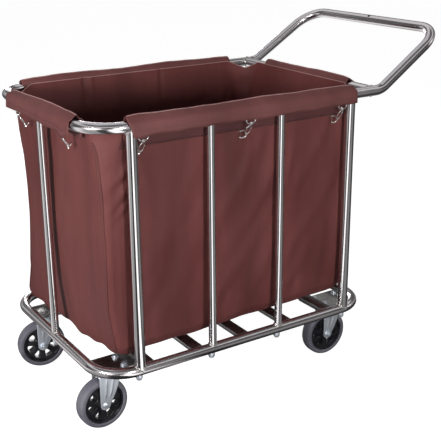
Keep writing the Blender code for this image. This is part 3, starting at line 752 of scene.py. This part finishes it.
def ring_wire(half_width, depth, radius):
    """D-shaped ring in the XZ plane: a straight top bar at z = 0 and a bow below."""
    points = [(-half_width, 0, 0.0), (half_width, 0, 0.0)]
    for angle in np.linspace(0, -180, 19):
        across, down = polar(1, angle)
        points.append((half_width * across, 0, -depth * 0.35 + depth * 0.65 * down))
    path = [Vector(p) for p in points]
    return tube("ring", spread(path, 0.002), radius, 12, closed=True)


def hook_places():
    for index, x in enumerate(HOOK_SIDE_X):
        yield f"left_{index + 1}", (x, -HALF_WIDTH - HOOK_OUT), 0.0
        yield f"right_{index + 1}", (x, HALF_WIDTH + HOOK_OUT), 180.0
    for index, y in enumerate(HOOK_FRONT_Y):
        yield f"front_{index + 1}", (-HALF_LENGTH - HOOK_OUT, y), -90.0


def webbing(width, low, high, depth=0.0026):
    """A short doubled tab of tape, sewn above and looped round a ring's bar at the bottom."""
    loop = [(depth * 0.5, high), (depth * 0.55, low + 0.002), (depth * 0.35, low + 0.0004), (0.0, low),
            (-depth * 0.35, low + 0.0004), (-depth * 0.55, low + 0.002), (-depth * 0.5, high)]
    rows = []
    for share in np.linspace(-0.5, 0.5, 7):
        curl = 0.0004 * (2 * share) ** 2
        rows.append([(share * width, y + curl, z) for y, z in loop])
    return grid_mesh("tab", rows, around=True, caps=True)


def build_hooks():
    wires, tabs = [], []
    for name, (x, y), turn in hook_places():
        spin = rotation(turn)
        base = shift(x, y, HOOK_EYE_Z) @ spin @ rotation(HOOK_TILT, "X")
        piece(f"snap_hook_{name}_wire", hook_wire(), WIRE, at=HERE @ base,
              stands_for=[f"snap_hook_{name}"], sharp=0)
        gate = tube("gate", [(0, 0, z) for z in np.linspace(0.0006, HOOK_TIP - GATE_PIVOT + 0.0004, 8)],
                    WIRE_R - 0.0001, 12)
        pivot = base @ shift(HOOK_HALF, 0, GATE_PIVOT)
        section = [(0.0011, -0.0008), (0.0019, -0.0008), (0.0019, 0.0008), (0.0011, 0.0008)]
        gate = merged("gate", (gate, None), (lathe("coil", section, 20), None))
        piece(f"snap_gate_{name}_wire", gate, WIRE, body=f"snap_gate_{name}", at=HERE @ pivot,
              stands_for=[f"snap_hook_{name}_gate"], sharp=0)
        # upper ring hangs from the flap, lower ring lies on the bag under the hook's bend
        upper = shift(x, y, HOOK_EYE_Z + 0.0106) @ spin
        wires.append((ring_wire(0.0115, 0.0110, 0.0011), upper))
        tabs.append((webbing(0.021, -0.0022, 0.012), upper))
        bend = base @ Vector((0, 0, HOOK_BOTTOM - HOOK_HALF + 0.0012))
        inward = spin @ Vector((0, 1, 0))
        along = spin @ Vector((-1, 0, 0))
        bar = bend + inward * 0.0082 + along * 0.0120 + Vector((0, 0, -0.0030))
        way = (bend - bar).normalized()
        lean = Vector((0, 0, -1)).rotation_difference(way).to_matrix().to_4x4()
        wires.append((ring_wire(0.0085, (bend - bar).length, 0.0011), Matrix.Translation(bar) @ lean @ spin))
    piece("hook_rings", merged("rings", *wires), WIRE, sharp=0)
    piece("flap_ring_tabs", merged("tabs", *tabs), CLOTH_BAND, sharp=50)


# ---------------------------------------------------------------- bag
WALL_Z = (0.190, 0.210, 0.300, 0.450, 0.600, 0.690, 0.720, 0.744)
SIDE_Y = (0.2290, 0.2380, 0.2430, 0.2460, 0.2480, 0.2505, 0.2525, 0.2540)
FRONT_X = (0.3480, 0.3505, 0.3520, 0.3530, 0.3540, 0.3580, 0.3620, 0.3670)
REAR_X = (0.3200, 0.3290, 0.3430, 0.3460, 0.3480, 0.3510, 0.3540, 0.3565)
BAG_CORNER = (0.018, 0.018, 0.018, 0.018, 0.022, 0.044, 0.066, 0.074)
CLOTH_THICK = 0.0010
# the far front corner of the bag: pinched in above mid height, spread out at its foot
PINCH, PINCH_Z, PINCH_SPAN = 0.038, 0.470, 0.140
FOOT_SPREAD, FOOT_TOP, FOOT_BOTTOM = 0.030, 0.270, 0.180
WALLS = ("front", "left", "rear", "right")
SIDE_COLUMNS, END_COLUMNS, CORNER_COLUMNS = 110, 78, 14

# rings of the floor: how far in from the lower edge, and the share of its height that is left
FLOOR_Z = 0.1768
FLOOR_RINGS = ((0.003, 0.93), (0.012, 0.76), (0.030, 0.46), (0.055, 0.16), (0.080, 0.04), (0.110, 0.0),
               (0.135, 0.0), (0.160, 0.0), (0.185, 0.0), (0.205, 0.0), (0.220, 0.0))

# creases on the walls: (s, z) from, (s, z) to, half width, height; s runs along the wall from its middle
SIDE_CREASES = (
    ((-0.18, 0.66), (-0.20, 0.50), 0.022, 0.0032),
    ((-0.13, 0.61), (-0.24, 0.40), 0.022, 0.0034),
    ((-0.20, 0.44), (-0.26, 0.30), 0.018, 0.0024),
    ((-0.13, 0.42), (-0.23, 0.24), 0.024, 0.0034),
    ((0.050, 0.66), (-0.040, 0.50), 0.017, 0.0036),
    ((0.085, 0.57), (-0.010, 0.42), 0.018, 0.0038),
    ((0.040, 0.43), (-0.065, 0.28), 0.020, 0.0038),
    ((0.020, 0.67), (0.005, 0.56), 0.011, 0.0024),
    ((0.078, 0.36), (0.000, 0.22), 0.019, 0.0030),
    ((0.245, 0.66), (0.170, 0.52), 0.017, 0.0034),
    ((0.270, 0.53), (0.160, 0.36), 0.020, 0.0040),
    ((0.215, 0.38), (0.130, 0.24), 0.019, 0.0030),
    ((0.150, 0.66), (0.140, 0.55), 0.011, 0.0022),
    ((0.215, 0.67), (0.240, 0.60), 0.009, 0.0018),
    ((-0.270, 0.67), (-0.240, 0.60), 0.008, 0.0020),
    ((-0.240, 0.665), (-0.160, 0.640), 0.006, 0.0016),
    ((0.295, 0.60), (0.275, 0.28), 0.016, -0.0040),
    ((-0.010, 0.645), (0.050, 0.610), 0.007, -0.0016),
    ((-0.290, 0.645), (-0.338, 0.600), 0.0080, 0.0042),
    ((-0.288, 0.610), (-0.338, 0.548), 0.0085, 0.0048),
    ((-0.300, 0.560), (-0.338, 0.520), 0.0065, 0.0036),
    ((-0.300, 0.655), (-0.332, 0.640), 0.0050, -0.0020),
    ((-0.322, 0.50), (-0.318, 0.26), 0.0080, 0.0024),
)
FRONT_CREASES = (
    ((0.03, 0.66), (0.05, 0.32), 0.034, 0.0028),
    ((-0.06, 0.60), (-0.05, 0.28), 0.040, 0.0036),
    ((-0.12, 0.62), (-0.135, 0.50), 0.016, -0.0012),
    ((0.13, 0.64), (0.18, 0.42), 0.026, -0.0026),
    ((0.19, 0.52), (0.15, 0.26), 0.024, -0.0030),
    ((-0.215, 0.66), (-0.195, 0.60), 0.009, 0.0016),
    ((-0.190, 0.50), (-0.200, 0.25), 0.012, 0.0018),
    ((-0.02, 0.44), (-0.10, 0.40), 0.016, 0.0010),
)


def crease(s, z, creases):
    """Height of all folds at (s, z): each is a soft ridge along a short segment."""
    total = np.zeros_like(s)
    for start, end, half, height in creases:
        a, b = np.array(start), np.array(end)
        way = b - a
        length = np.linalg.norm(way)
        way /= length
        along = (s - a[0]) * way[0] + (z - a[1]) * way[1]
        across = -(s - a[0]) * way[1] + (z - a[1]) * way[0]
        bend = 0.25 * half * np.sin(along / length * 5.0)
        fade = 1 / (1 + np.exp(-(along + 0.02) / (0.06 * length)))
        fade /= 1 + np.exp((along - length - 0.02) / (0.10 * length))
        off = (across - bend) / half
        shape = np.exp(-off ** 2) - 0.45 * np.exp(-(off - 1.5) ** 2)
        total += height * shape * fade
    return total


def ripple(x, y, z, scale, seed):
    """Smooth seeded noise sampled at arrays of points."""
    flat = [noise.noise(Vector((a * scale + seed, b * scale - seed, c * scale)))
            for a, b, c in zip(x.ravel(), y.ravel(), z.ravel())]
    return np.array(flat).reshape(x.shape)


def wall_columns():
    """Share of the way round, as (wall, place along it) for every column."""
    columns = []
    for index, wall in enumerate(WALLS):
        count = SIDE_COLUMNS if index % 2 else END_COLUMNS
        columns += [(wall, share) for share in np.linspace(0, 1, count)]
        columns += [(wall + "_corner", share) for share in np.linspace(0, 1, CORNER_COLUMNS + 2)[1:-1]]
    return columns


def bag_ring(z, shape_z):
    """Points and outward normals round the bag at the height z, with the outline of the height shape_z."""
    side = np.interp(shape_z, WALL_Z, SIDE_Y)
    front = np.interp(shape_z, WALL_Z, FRONT_X)
    rear = np.interp(shape_z, WALL_Z, REAR_X)
    radius = np.interp(shape_z, WALL_Z, BAG_CORNER)
    low_x, high_x = -front + radius, rear - radius
    half = side - radius
    centres = ((low_x, -half), (high_x, -half), (high_x, half), (low_x, half))
    points, normals = [], []
    for wall, share in wall_columns():
        index = WALLS.index(wall.removesuffix("_corner"))
        if wall in WALLS:
            normal = ((-1, 0), (0, -1), (1, 0), (0, 1))[index]
            centre = np.array(centres[index - 1]) * (1 - share) + np.array(centres[index]) * share
        else:
            normal = polar(1, 180 + 90 * index + 90 * share)
            centre = centres[index]
        spot = (centre[0] + radius * normal[0], centre[1] + radius * normal[1])
        points.append((*spot, z))
        normals.append((*normal, 0.0))
    return np.array(points), np.array(normals)


def bag_rows():
    """The bag's outer surface from the top edge down to the middle of its floor."""
    heights = np.concatenate([np.linspace(1.0, 0.90, 14), np.linspace(0.90, 0.06, 56)[1:],
                              np.linspace(0.06, 0.0, 8)[1:]])
    rows, normals = [], []
    for share in heights:
        points, outward = bag_ring(0.0, WALL_Z[0] + share * (WALL_Z[-1] - WALL_Z[0]))
        rows.append(points)
        normals.append(outward)
    rows, normals = np.array(rows), np.array(normals)
    x, y = rows[..., 0], rows[..., 1]
    share = np.broadcast_to(heights[:, None], x.shape)

    # the top edge dips between the flaps, and the lower edge is raised and uneven
    corner = rise(np.abs(x), 0.300, 0.040) * rise(np.abs(y), 0.188, 0.040)
    top = 0.7440 - 0.020 * corner
    low = 0.1975 + 0.0014 * np.sin(x * 23.0 + 1.0) + 0.0008 * np.sin(x * 61.0)
    low = low + 0.0130 * rise(x, -0.30, 0.52) * rise(-y, 0.0, 0.20)
    wave = 0.0055 * np.sin(y * 33.0 + 0.6) + 0.0028 * np.sin(y * 78.0 + 2.0)
    front_wall = rise(-x, 0.305, 0.02)
    far_tip = rise(-x, 0.300, 0.030) * rise(y, 0.160, 0.060)
    near_tip = rise(-x, 0.315, 0.030) * rise(-y, 0.185, 0.035)
    low = low + front_wall * (wave * (1 - far_tip) - 0.005) - 0.0100 * far_tip + 0.0120 * near_tip
    z = low + (top - low) * share

    # folds of each wall
    fold = np.zeros_like(x)
    side = rise(np.abs(y), 0.195, 0.03)
    end = rise(np.abs(x), 0.300, 0.03)
    on_sides = np.where(y < 0, crease(x, z, SIDE_CREASES), crease(-x * 0.97 + 0.02, z, SIDE_CREASES))
    on_ends = np.where(x < 0, crease(y, z, FRONT_CREASES), crease(-y, z, FRONT_CREASES))
    fold += on_sides * side * (1 - end * 0.6)
    fold += on_ends * end * (1 - side * 0.6)
    calm = rise(share, 0.0, 0.12) * rise(share, 0.90, -0.06)
    fold *= 0.85 * np.maximum(calm, 0.15)
    fold += 0.0024 * ripple(x, y, z * 0.4, 9.0, 3.7) * calm
    fold += 0.0014 * ripple(x, y, z * 0.12, 34.0, 2.9) * calm
    fold += 0.0010 * ripple(x, y, z * 0.7, 26.0, 8.1) * calm
    # two long folds down the inside of the far wall
    for place, height in ((-0.152, 0.0042), (-0.135, -0.0030), (0.075, 0.0026)):
        fold += height * np.exp(-((x - place) / 0.0065) ** 2) * rise(y, 0.0, 0.2) * side
    # small puckers just under the doubled band
    near_band = np.exp(-((share - 0.86) / 0.035) ** 2)
    fold += 0.0010 * near_band * ripple(x, y, z * 0.5, 70.0, 5.2)
    # the wall bellies out a little between its posts
    belly = np.sin(math.pi * share)
    fold += 0.0022 * belly * np.cos(x * 14.0) * side
    fold += 0.0090 * belly * np.cos(np.clip(y / 0.22, -1, 1) * math.pi / 2) * end * (1 - side)
    rows[..., 2] = z
    rows[..., :2] += normals[..., :2] * fold[..., None]

    # one front corner is drawn in, most of all at mid height
    drawn = PINCH * np.exp(-((z - PINCH_Z) / PINCH_SPAN) ** 2)
    drawn -= FOOT_SPREAD * rise(z, FOOT_TOP, FOOT_BOTTOM - FOOT_TOP)
    near = rise(y, 0.150, 0.085) * rise(-x, 0.235, 0.100)
    rows[..., 1] -= (drawn - 0.008 * belly) * near ** 1.3
    rows[..., 0] += 0.010 * belly * rise(y, 0.140, 0.080) ** 1.5 * front_wall
    # the other front corner stands back at the bottom
    back = rise(-y, -0.12, 0.34) * rise(-z, -0.31, 0.12) * rise(-x, 0.10, 0.20)
    rows[..., 0] += 0.020 * back

    # floor: from the lower edge down on to the crossbars
    last = rows[-1]
    middle = np.array((last[:, 0].mean(), 0.0, 0.0))
    floor = []
    for inset, height in FLOOR_RINGS:
        ring = last.copy()
        ring[:, :2] = middle[:2] + (last[:, :2] - middle[:2]) * (1 - inset / np.array((0.350, 0.240)))
        ring[:, 2] = FLOOR_Z + (last[:, 2] - FLOOR_Z) * height
        if inset > 0.02:
            ring[:, 2] += 0.0020 * np.abs(ripple(ring[:, 0], ring[:, 1], ring[:, 2], 17.0, 6.4))
        floor.append(ring)
    return rows, np.array(floor)


def offset_inside(rows, distance):
    """The rows moved inward along their own surface normals."""
    down = np.gradient(rows, axis=0)
    around = np.roll(rows, -1, axis=1) - np.roll(rows, 1, axis=1)
    normal = np.cross(down, around)
    normal /= np.maximum(np.linalg.norm(normal, axis=2)[..., None], 1e-9)
    middle = rows.mean(axis=(0, 1)) + np.array((0, 0, 0.05))
    if np.sum(normal * (rows - middle)) < 0:
        normal = -normal
    return rows - normal * distance


def build_bag():
    walls, floor = bag_rows()
    outer = np.concatenate([walls, floor])
    inner = offset_inside(outer, CLOTH_THICK)
    inner[0, :, 2] = outer[0, :, 2]
    rows = np.concatenate([outer[::-1], inner])
    mesh = grid_mesh("bag", rows, around=True, caps=True)
    bag = piece("bag_cloth", mesh, CLOTH, stands_for=["linen_bag"], sharp=0)
    return walls


def wall_spot(walls, column, level):
    """The point of one column of the bag's wall that lies at a height."""
    line = walls[::-1, column]
    return [np.interp(level, line[:, 2], line[:, axis]) for axis in (0, 1)] + [level]


def away_from(centre, points, way):
    """Level unit vectors square to a way along the cloth, on the side away from a centre."""
    outward = np.stack([way[:, 1], -way[:, 0], np.zeros(len(way))], axis=1)
    outward /= np.linalg.norm(outward, axis=1)[:, None]
    return -outward if np.sum(outward * (points - centre)) < 0 else outward


def strip_on_wall(name, walls, columns, low, high, lift, thick=0.0010):
    """A doubled strip of cloth that follows the bag's wall between two heights."""
    line = walls[20, columns]
    normal = away_from(walls[20].mean(axis=0), line, np.gradient(line, axis=0))
    rows = [[wall_spot(walls, column, level) for column in columns] for level in np.linspace(high, low, 7)]
    rows = np.array(rows) + normal * (lift + thick)
    return grid_mesh(name, np.concatenate([rows, (rows - normal * thick)[::-1]]), along=True)


def stitches(path, length=0.0042, gap=0.0016, radius=0.00042):
    """Short thread lozenges along a path that already lies on the cloth."""
    path = [Vector(p) for p in path]
    distance = [0.0]
    for a, b in zip(path, path[1:]):
        distance.append(distance[-1] + (b - a).length)
    total, parts, place = distance[-1], [], 0.001
    table = np.array([tuple(p) for p in path])

    def at(s):
        return Vector([np.interp(s, distance, table[:, axis]) for axis in range(3)])

    while place + length < total:
        ends = [at(place), at(place + length / 2), at(place + length)]
        parts.append((tube("stitch", ends, radius, 6), None))
        place += length + gap
    return merged("stitches", *parts)


SEAM_SECTION = ((-0.0042, 0.0001), (-0.0038, 0.0010), (-0.0012, 0.0013), (0.0014, 0.0017), (0.0036, 0.0013),
                (0.0042, 0.0001))


def build_bag_seams(walls):
    """Doubled band under the flaps, corner seams and their stitching."""
    columns = wall_columns()
    names = [wall for wall, _ in columns]
    sewn = []
    for wall in ("left", "right"):
        places = [i for i, name in enumerate(names) if name == wall]
        band = strip_on_wall("band", walls, places, 0.6840, 0.7300, 0.0004)
        band_piece = piece(f"bag_band_{wall}", band, CLOTH_BAND, sharp=0)
        for level in (0.6855, 0.6885):
            out = np.array((0, -0.0018 if wall == "left" else 0.0018, 0))
            sewn.append((stitches([wall_spot(walls, i, level) + out for i in places]), None))
    # a felled seam stands on each front corner and one rear corner, with a row of stitches beside it
    seams = []
    for corner, share in (("front_corner", 3), ("right_corner", 10), ("rear_corner", 7), ("left_corner", 7)):
        places = [i for i, name in enumerate(names) if name == corner]
        column = places[share]
        line = walls[8:, column]
        before, after = walls[8:, column - 2], walls[8:, column + 2]
        way = after - before
        way /= np.linalg.norm(way, axis=1)[:, None]
        outward = away_from(walls[20].mean(axis=0), line, way)
        rows = [line + way * a + outward * b for a, b in SEAM_SECTION]
        seams.append((grid_mesh("seam", np.array(rows).transpose(1, 0, 2), around=True, caps=True), None))
        sewn.append((stitches(line + outward * 0.0018 - way * 0.0026), None))
        sewn.append((stitches(line + outward * 0.0020 + way * 0.0026), None))
    # a thin tube of the light cloth just inside the mouth's edge: a painted highlight along the edge
    mouth = [Vector(p) + Vector((0, 0, 0.0002)) for p in walls[0]]
    inside = [p.lerp(Vector((0, 0, p.z)), 0.0045) for p in mouth]
    hem = tube("hem", inside, 0.0011, 8, closed=True)
    piece("bag_mouth_painted_highlight", hem, CLOTH_PAINTED_HIGHLIGHT, sharp=0)
    piece("bag_corner_seams", merged("seams", *seams), CLOTH, sharp=0)
    piece("bag_stitching", merged("sewn", *sewn), THREAD, sharp=0)


# ---------------------------------------------------------------- flaps
FLAP_SECTION = ((-0.0150, -0.0300), (-0.0152, -0.0180), (-0.0151, -0.0060), (-0.0148, 0.0030),
                (-0.0134, 0.0100), (-0.0108, 0.0160), (-0.0074, 0.0206), (-0.0046, 0.0226),
                (-0.0022, 0.0224), (0.0020, 0.0190), (0.0066, 0.0148), (0.0114, 0.0098), (0.0148, 0.0044),
                (0.0160, -0.0020), (0.0164, -0.0085), (0.0166, -0.0140), (0.0168, -0.0200))
FLAP_THICK = 0.0012


def flap_rows(start, end, count, seed, ridge, flare, drop, tilt=(0.0, 0.0), tab=None, settle=0.0):
    """Section by section along the rail: (along, outward, up) from the tube's centre."""
    rows = []
    for share in np.linspace(0, 1, count):
        s = start + (end - start) * share
        soft = noise.noise(Vector((s * 7.0 + seed, 0.3, seed)))
        fine = noise.noise(Vector((s * 24.0, seed, 1.7)))
        edge = max(0.0, 1 - min(share, 1 - share) / 0.05)
        row = []
        for index, (out, up) in enumerate(FLAP_SECTION):
            place = index / (len(FLAP_SECTION) - 1)
            crown = math.exp(-((place - 0.44) / 0.16) ** 2)
            hem = max(0.0, (place - 0.66) / 0.34)
            small = noise.noise(Vector((s * 34.0, place * 5.0, seed + 4.0)))
            o = out + crown * 0.0020 * soft + hem * (0.0006 + flare * (soft + 0.35 * fine))
            o += 0.0007 * small * (place > 0.3)
            u = up + crown * (ridge * soft + 0.0010 * fine - 0.0018 * edge)
            u -= hem * (drop * fine + 0.0016 * soft)
            u -= crown * settle * max(0.0, (share - 0.50) / 0.50)
            if tab is not None and hem > 0:
                u -= hem * tab[1] * max(0.0, 1 - abs(s - tab[0]) / tab[2])
            if hem > 0:
                o = max(o, 0.0146)
            row.append((s + tilt[0 if share < 0.5 else 1] * hem * edge, o, u))
        rows.append(row)
    return np.array(rows)


def cloth_between(name, rows, thickness):
    """A closed thin sheet over rows of points, thickened towards the tube."""
    along = np.gradient(rows, axis=0)
    around = np.gradient(rows, axis=1)
    normal = np.cross(along, around)
    normal /= np.linalg.norm(normal, axis=2)[..., None]
    if np.sum(normal[:, 8, 2]) < 0:
        normal = -normal
    under = rows - normal * thickness
    return grid_mesh(name, np.concatenate([rows, under[:, ::-1]], axis=1), around=True, caps=True)


def build_flaps():
    """Four flaps fold over the rail and hang outside it, each with a stitched hem and a painted highlight along
    its ridge.
    """
    flaps = {
        # name: start, end along the rail; seed; placed by a matrix whose Y is outward
        "left": (-0.304, 0.313, 1.3, shift(0, -HALF_WIDTH, RAIL_Z) @ HALF_TURN, -1),
        "right": (-0.322, 0.305, 5.9, shift(0, HALF_WIDTH, RAIL_Z), 1),
        "front": (-0.191, 0.168, 2.2, shift(-HALF_LENGTH, 0, RAIL_Z)
                  @ rotation(90), 1),
        "rear": (-0.190, 0.160, 8.6, shift(CROSS_TUBE_X, 0, RAIL_Z)
                 @ rotation(-90), -1),
    }
    sewn, ridge_highlights = [], []
    for name, (start, end, seed, where, direction) in flaps.items():
        if direction < 0:
            start, end = -end, -start
        tab = (-0.153, 0.014, 0.030) if name == "front" else None
        tilt = (0.0, -0.010) if name == "left" else (0.0, 0.0)
        count = 150 if name in ("left", "right") else 96
        tall = name != "rear"
        rows = flap_rows(start, end, count, seed, 0.0030 if tall else 0.0012, 0.0016 if tall else 0.0008,
                         0.0035, tilt, tab, 0.0060 if name == "front" else 0.0)
        mesh = cloth_between("flap", rows, FLAP_THICK)
        flap = piece(f"flap_{name}", mesh, CLOTH_FLAP_PAINTED_LIGHTER, at=HERE @ where, sharp=0)
        # a thin tube of the light cloth along each flap's ridge is a painted highlight
        ridge = [where @ Vector(p) + Vector((0, 0, 0.0003)) for p in rows[1:-1, 7]]
        ridge_highlights.append((tube("ridge", ridge, 0.0013, 8), None))
        for line in (rows[2:-2, -3], (rows[2:-2, -2] + rows[2:-2, -1]) / 2):
            path = [where @ Vector(p) for p in line + np.array((0, 0.0008, 0))]
            sewn.append((stitches(path, 0.0040, 0.0016, 0.00040), None))
    piece("flap_stitching", merged("sewn", *sewn), THREAD, sharp=0)
    piece("flap_ridge_painted_highlights", merged("ridge_highlights", *ridge_highlights), CLOTH_PAINTED_HIGHLIGHT, sharp=0)


# ---------------------------------------------------------------- plates that stay, studio and camera
def paint_cad_plates():
    for end in ("front", "rear"):
        for side in ("left", "right"):
            node = bpy.data.objects[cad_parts[f"mount_plate_{end}_{side}"].name]
            node.data.materials.clear()
            node.data.materials.append(SHEET)


CAMERA_LENS, CAMERA_SENSOR = 73.854, 36.0
CAMERA_TURN = (-33.062, 19.051, -0.394)  # yaw, pitch down and roll in degrees
CAMERA_X, CAMERA_Y, CAMERA_Z = -1.1385, -1.9071, 1.1693


def build_camera():
    data = bpy.data.cameras.new("eye")
    data.lens, data.sensor_width = CAMERA_LENS, CAMERA_SENSOR
    camera = bpy.data.objects.new("eye", data)
    bpy.context.collection.objects.link(camera)
    yaw, pitch, roll = (math.radians(angle) for angle in CAMERA_TURN)
    ahead = Vector((-math.sin(yaw) * math.cos(pitch), math.cos(yaw) * math.cos(pitch), -math.sin(pitch)))
    right = Vector((math.cos(yaw), math.sin(yaw), 0))
    up = right.cross(ahead)
    across = right * math.cos(roll) + up * math.sin(roll)
    above = up * math.cos(roll) - right * math.sin(roll)
    turn = Matrix((across, above, -ahead)).transposed().to_4x4()
    camera.matrix_world = shift(MIDDLE.x + CAMERA_X, CAMERA_Y, CAMERA_Z) @ turn
    bpy.context.scene.camera = camera


def area_light(name, place, target, size, power, colour=(1, 1, 1), spread=180.0):
    data = bpy.data.lights.new(name, "AREA")
    data.shape, data.size, data.size_y = "RECTANGLE", size[0], size[1]
    data.energy, data.color, data.spread = power, colour, math.radians(spread)
    light = bpy.data.objects.new(name, data)
    bpy.context.collection.objects.link(light)
    light.location = place
    light.rotation_euler = (Vector(target) - Vector(place)).to_track_quat("-Z", "Y").to_euler()
    return light


def plane(name, size, level, material, **sees):
    mesh = bpy.data.meshes.new(name)
    mesh.from_pydata([(-size, -size, level), (size, -size, level), (size, size, level), (-size, size, level)],
                     [], [(0, 1, 2, 3)])
    mesh.materials.append(material)
    obj = bpy.data.objects.new(name, mesh)
    bpy.context.collection.objects.link(obj)
    for key, value in sees.items():
        setattr(obj, key, value)
    return obj


def studio_world():
    """A dark studio with soft boxes round the horizon and a dim ceiling."""
    world = bpy.data.worlds.new("studio")
    bpy.context.scene.world = world
    world.use_nodes = True
    sky = Graph(world.node_tree)
    background = sky.nodes["Background"]
    way = sky.add("ShaderNodeSeparateXYZ", {0: sky.add("ShaderNodeTexCoord").outputs["Generated"]})
    turn = sky.math("ARCTAN2", way.outputs[1], way.outputs[0])
    share = sky.math("MULTIPLY_ADD", turn, 1 / (2 * math.pi), 0.5)
    sectors = [(((angle + 180) % 360) / 360, level) for angle, level in AROUND_LEVELS]
    around = sky.grey_ramp(share, *sectors, interpolation="EASE")
    low = sky.grey_ramp(way.outputs[2], (0.0, 1.0), (0.30, 1.0), (0.62, 0.0))
    levels = sky.grey_ramp(way.outputs[2], *RISE_LEVELS)
    sky.feed(sky.mix(low, levels, around, "MULTIPLY"), background.inputs[0])
    # metal mirrors the soft boxes at full strength; cloth gets less of them than of the lamps
    ray = sky.add("ShaderNodeLightPath")
    sky.feed(sky.math("MULTIPLY_ADD", ray.outputs["Is Glossy Ray"], 0.67, 0.33), background.inputs[1])
    # the eye sees a plain white backdrop
    backdrop = sky.add("ShaderNodeBackground", {0: (1, 1, 1, 1), 1: 0.98})
    sockets = {0: ray.outputs["Is Camera Ray"], 1: background.outputs[0], 2: backdrop.outputs[0]}
    sky.feed(sky.add("ShaderNodeMixShader", sockets).outputs[0], sky.nodes["World Output"].inputs[0])


# sky brightness by height of the direction, and by azimuth in degrees (0 is +X, -90 is the near side)
RISE_LEVELS = ((0.0, 1.0), (0.06, 1.0), (0.10, 0.35), (0.15, 0.35), (0.19, 1.15), (0.27, 1.05), (0.34, 0.20),
               (0.52, 0.16), (0.58, 0.80), (0.72, 0.80), (0.77, 0.14), (0.90, 0.12), (0.95, 0.16), (1.0, 0.16))
AROUND_LEVELS = ((-180, 0.60), (-170, 0.10), (-158, 0.10), (-153, 2.2), (-142, 2.2), (-137, 0.40), (-127, 0.40),
                 (-122, 0.10), (-110, 0.10), (-106, 2.2), (-96, 2.2), (-91, 0.60), (-70, 0.50), (-62, 0.10),
                 (-46, 0.10), (-38, 1.5), (-22, 1.5), (-14, 0.60), (20, 0.20), (44, 0.20), (56, 0.70),
                 (90, 0.40), (120, 0.80), (134, 0.10), (160, 0.10), (170, 0.50), (179, 0.60))
# upright tubes mirror the ground, so the panels that streak them stand in this ring of sectors
FLOOR_LEVELS = ((-180, 0.42), (-152, 0.44), (-147, 0.03), (-126, 0.03), (-121, 1.9), (-103, 1.9), (-97, 0.12),
                (-86, 0.10), (-74, 0.30), (-48, 0.26), (-36, 0.04), (-4, 0.04), (8, 0.42), (40, 0.42), (52, 1.0),
                (80, 1.0), (92, 0.10), (120, 0.14), (142, 0.20), (150, 1.0), (166, 1.0), (179, 0.42))


def mirrored_floor():
    """Sectors of light and dark round the trolley, for reflections only."""
    finish = Finish("mirrored_floor")
    spot = finish.add("ShaderNodeSeparateXYZ", {0: finish.add("ShaderNodeTexCoord").outputs["Object"]})
    x = finish.math("SUBTRACT", spot.outputs[0], MIDDLE.x)
    turn = finish.math("DIVIDE", finish.math("ARCTAN2", spot.outputs[1], x), 2 * math.pi)
    share = finish.math("ADD", turn, 0.5)
    levels = finish.grey_ramp(share, *[((angle + 180) / 360, level) for angle, level in FLOOR_LEVELS])
    finish.set(Base_Color=(0, 0, 0, 1), Roughness=1.0, Specular_IOR_Level=0.0, Emission_Strength=1.0)
    y = spot.outputs[1]
    squares = finish.math("ADD", finish.math("MULTIPLY", x, x), finish.math("MULTIPLY", y, y))
    under = finish.grey_ramp(finish.math("SQRT", squares), (0.42, 0.12), (0.62, 1.0))
    finish.set(Emission_Color=finish.mix(1.0, levels, under, "MULTIPLY"))
    return finish.material


def build_studio():
    # the ground that the camera sees, the one that lights the cloth, and the one that metal mirrors
    white = {"Emission_Color": (1, 1, 1, 1), "Emission_Strength": 0.93, "Specular_IOR_Level": 0.0}
    ground = {
        "floor": (speckled("pale_floor", 0.8, (0.44,) * 3, (0.47,) * 3, 0.9, **white), -0.0004,
                  "visible_camera"),
        "bounce_floor": (speckled("bounce_floor", 1.6, (0.12, 0.11, 0.11), (0.16, 0.15, 0.15)), -0.0010,
                         "visible_diffuse"),
        "mirror_floor": (mirrored_floor(), -0.0014, "visible_glossy"),
    }
    for name, (material, level, seen_by) in ground.items():
        sees = {key: key == seen_by for key in ("visible_camera", "visible_diffuse", "visible_glossy")}
        plane(name, 40.0, level, material, visible_shadow=False, visible_transmission=False, **sees)
    studio_world()

    area_light("key", (-0.35, -1.92, 0.96), (MIDDLE.x, -0.25, 0.6), (0.18, 0.30), 18.5)
    area_light("left_key", (-2.30, -0.72, 0.95), (-0.45, 0, 0.6), (0.26, 0.36), 43)
    area_light("ceiling", (0.0, 0.6, 3.0), (MIDDLE.x, 0, 0.45), (2.4, 2.0), 8, (0.93, 0.95, 1.0))
    area_light("back", (0.9, 2.8, 0.8), (MIDDLE.x, 0, 0.45), (1.4, 0.9), 34)
    bpy.context.scene.view_settings.view_transform = "Standard"
    bpy.context.scene.view_settings.look = "None"


build_camera()
build_studio()
build_frame()
build_base()
for caster, (end_sign, side_sign, rest_turn) in CASTERS.items():
    build_caster(caster, end_sign, side_sign, rest_turn)
bag_walls = build_bag()
build_bag_seams(bag_walls)
build_flaps()
build_hooks()
paint_cad_plates()
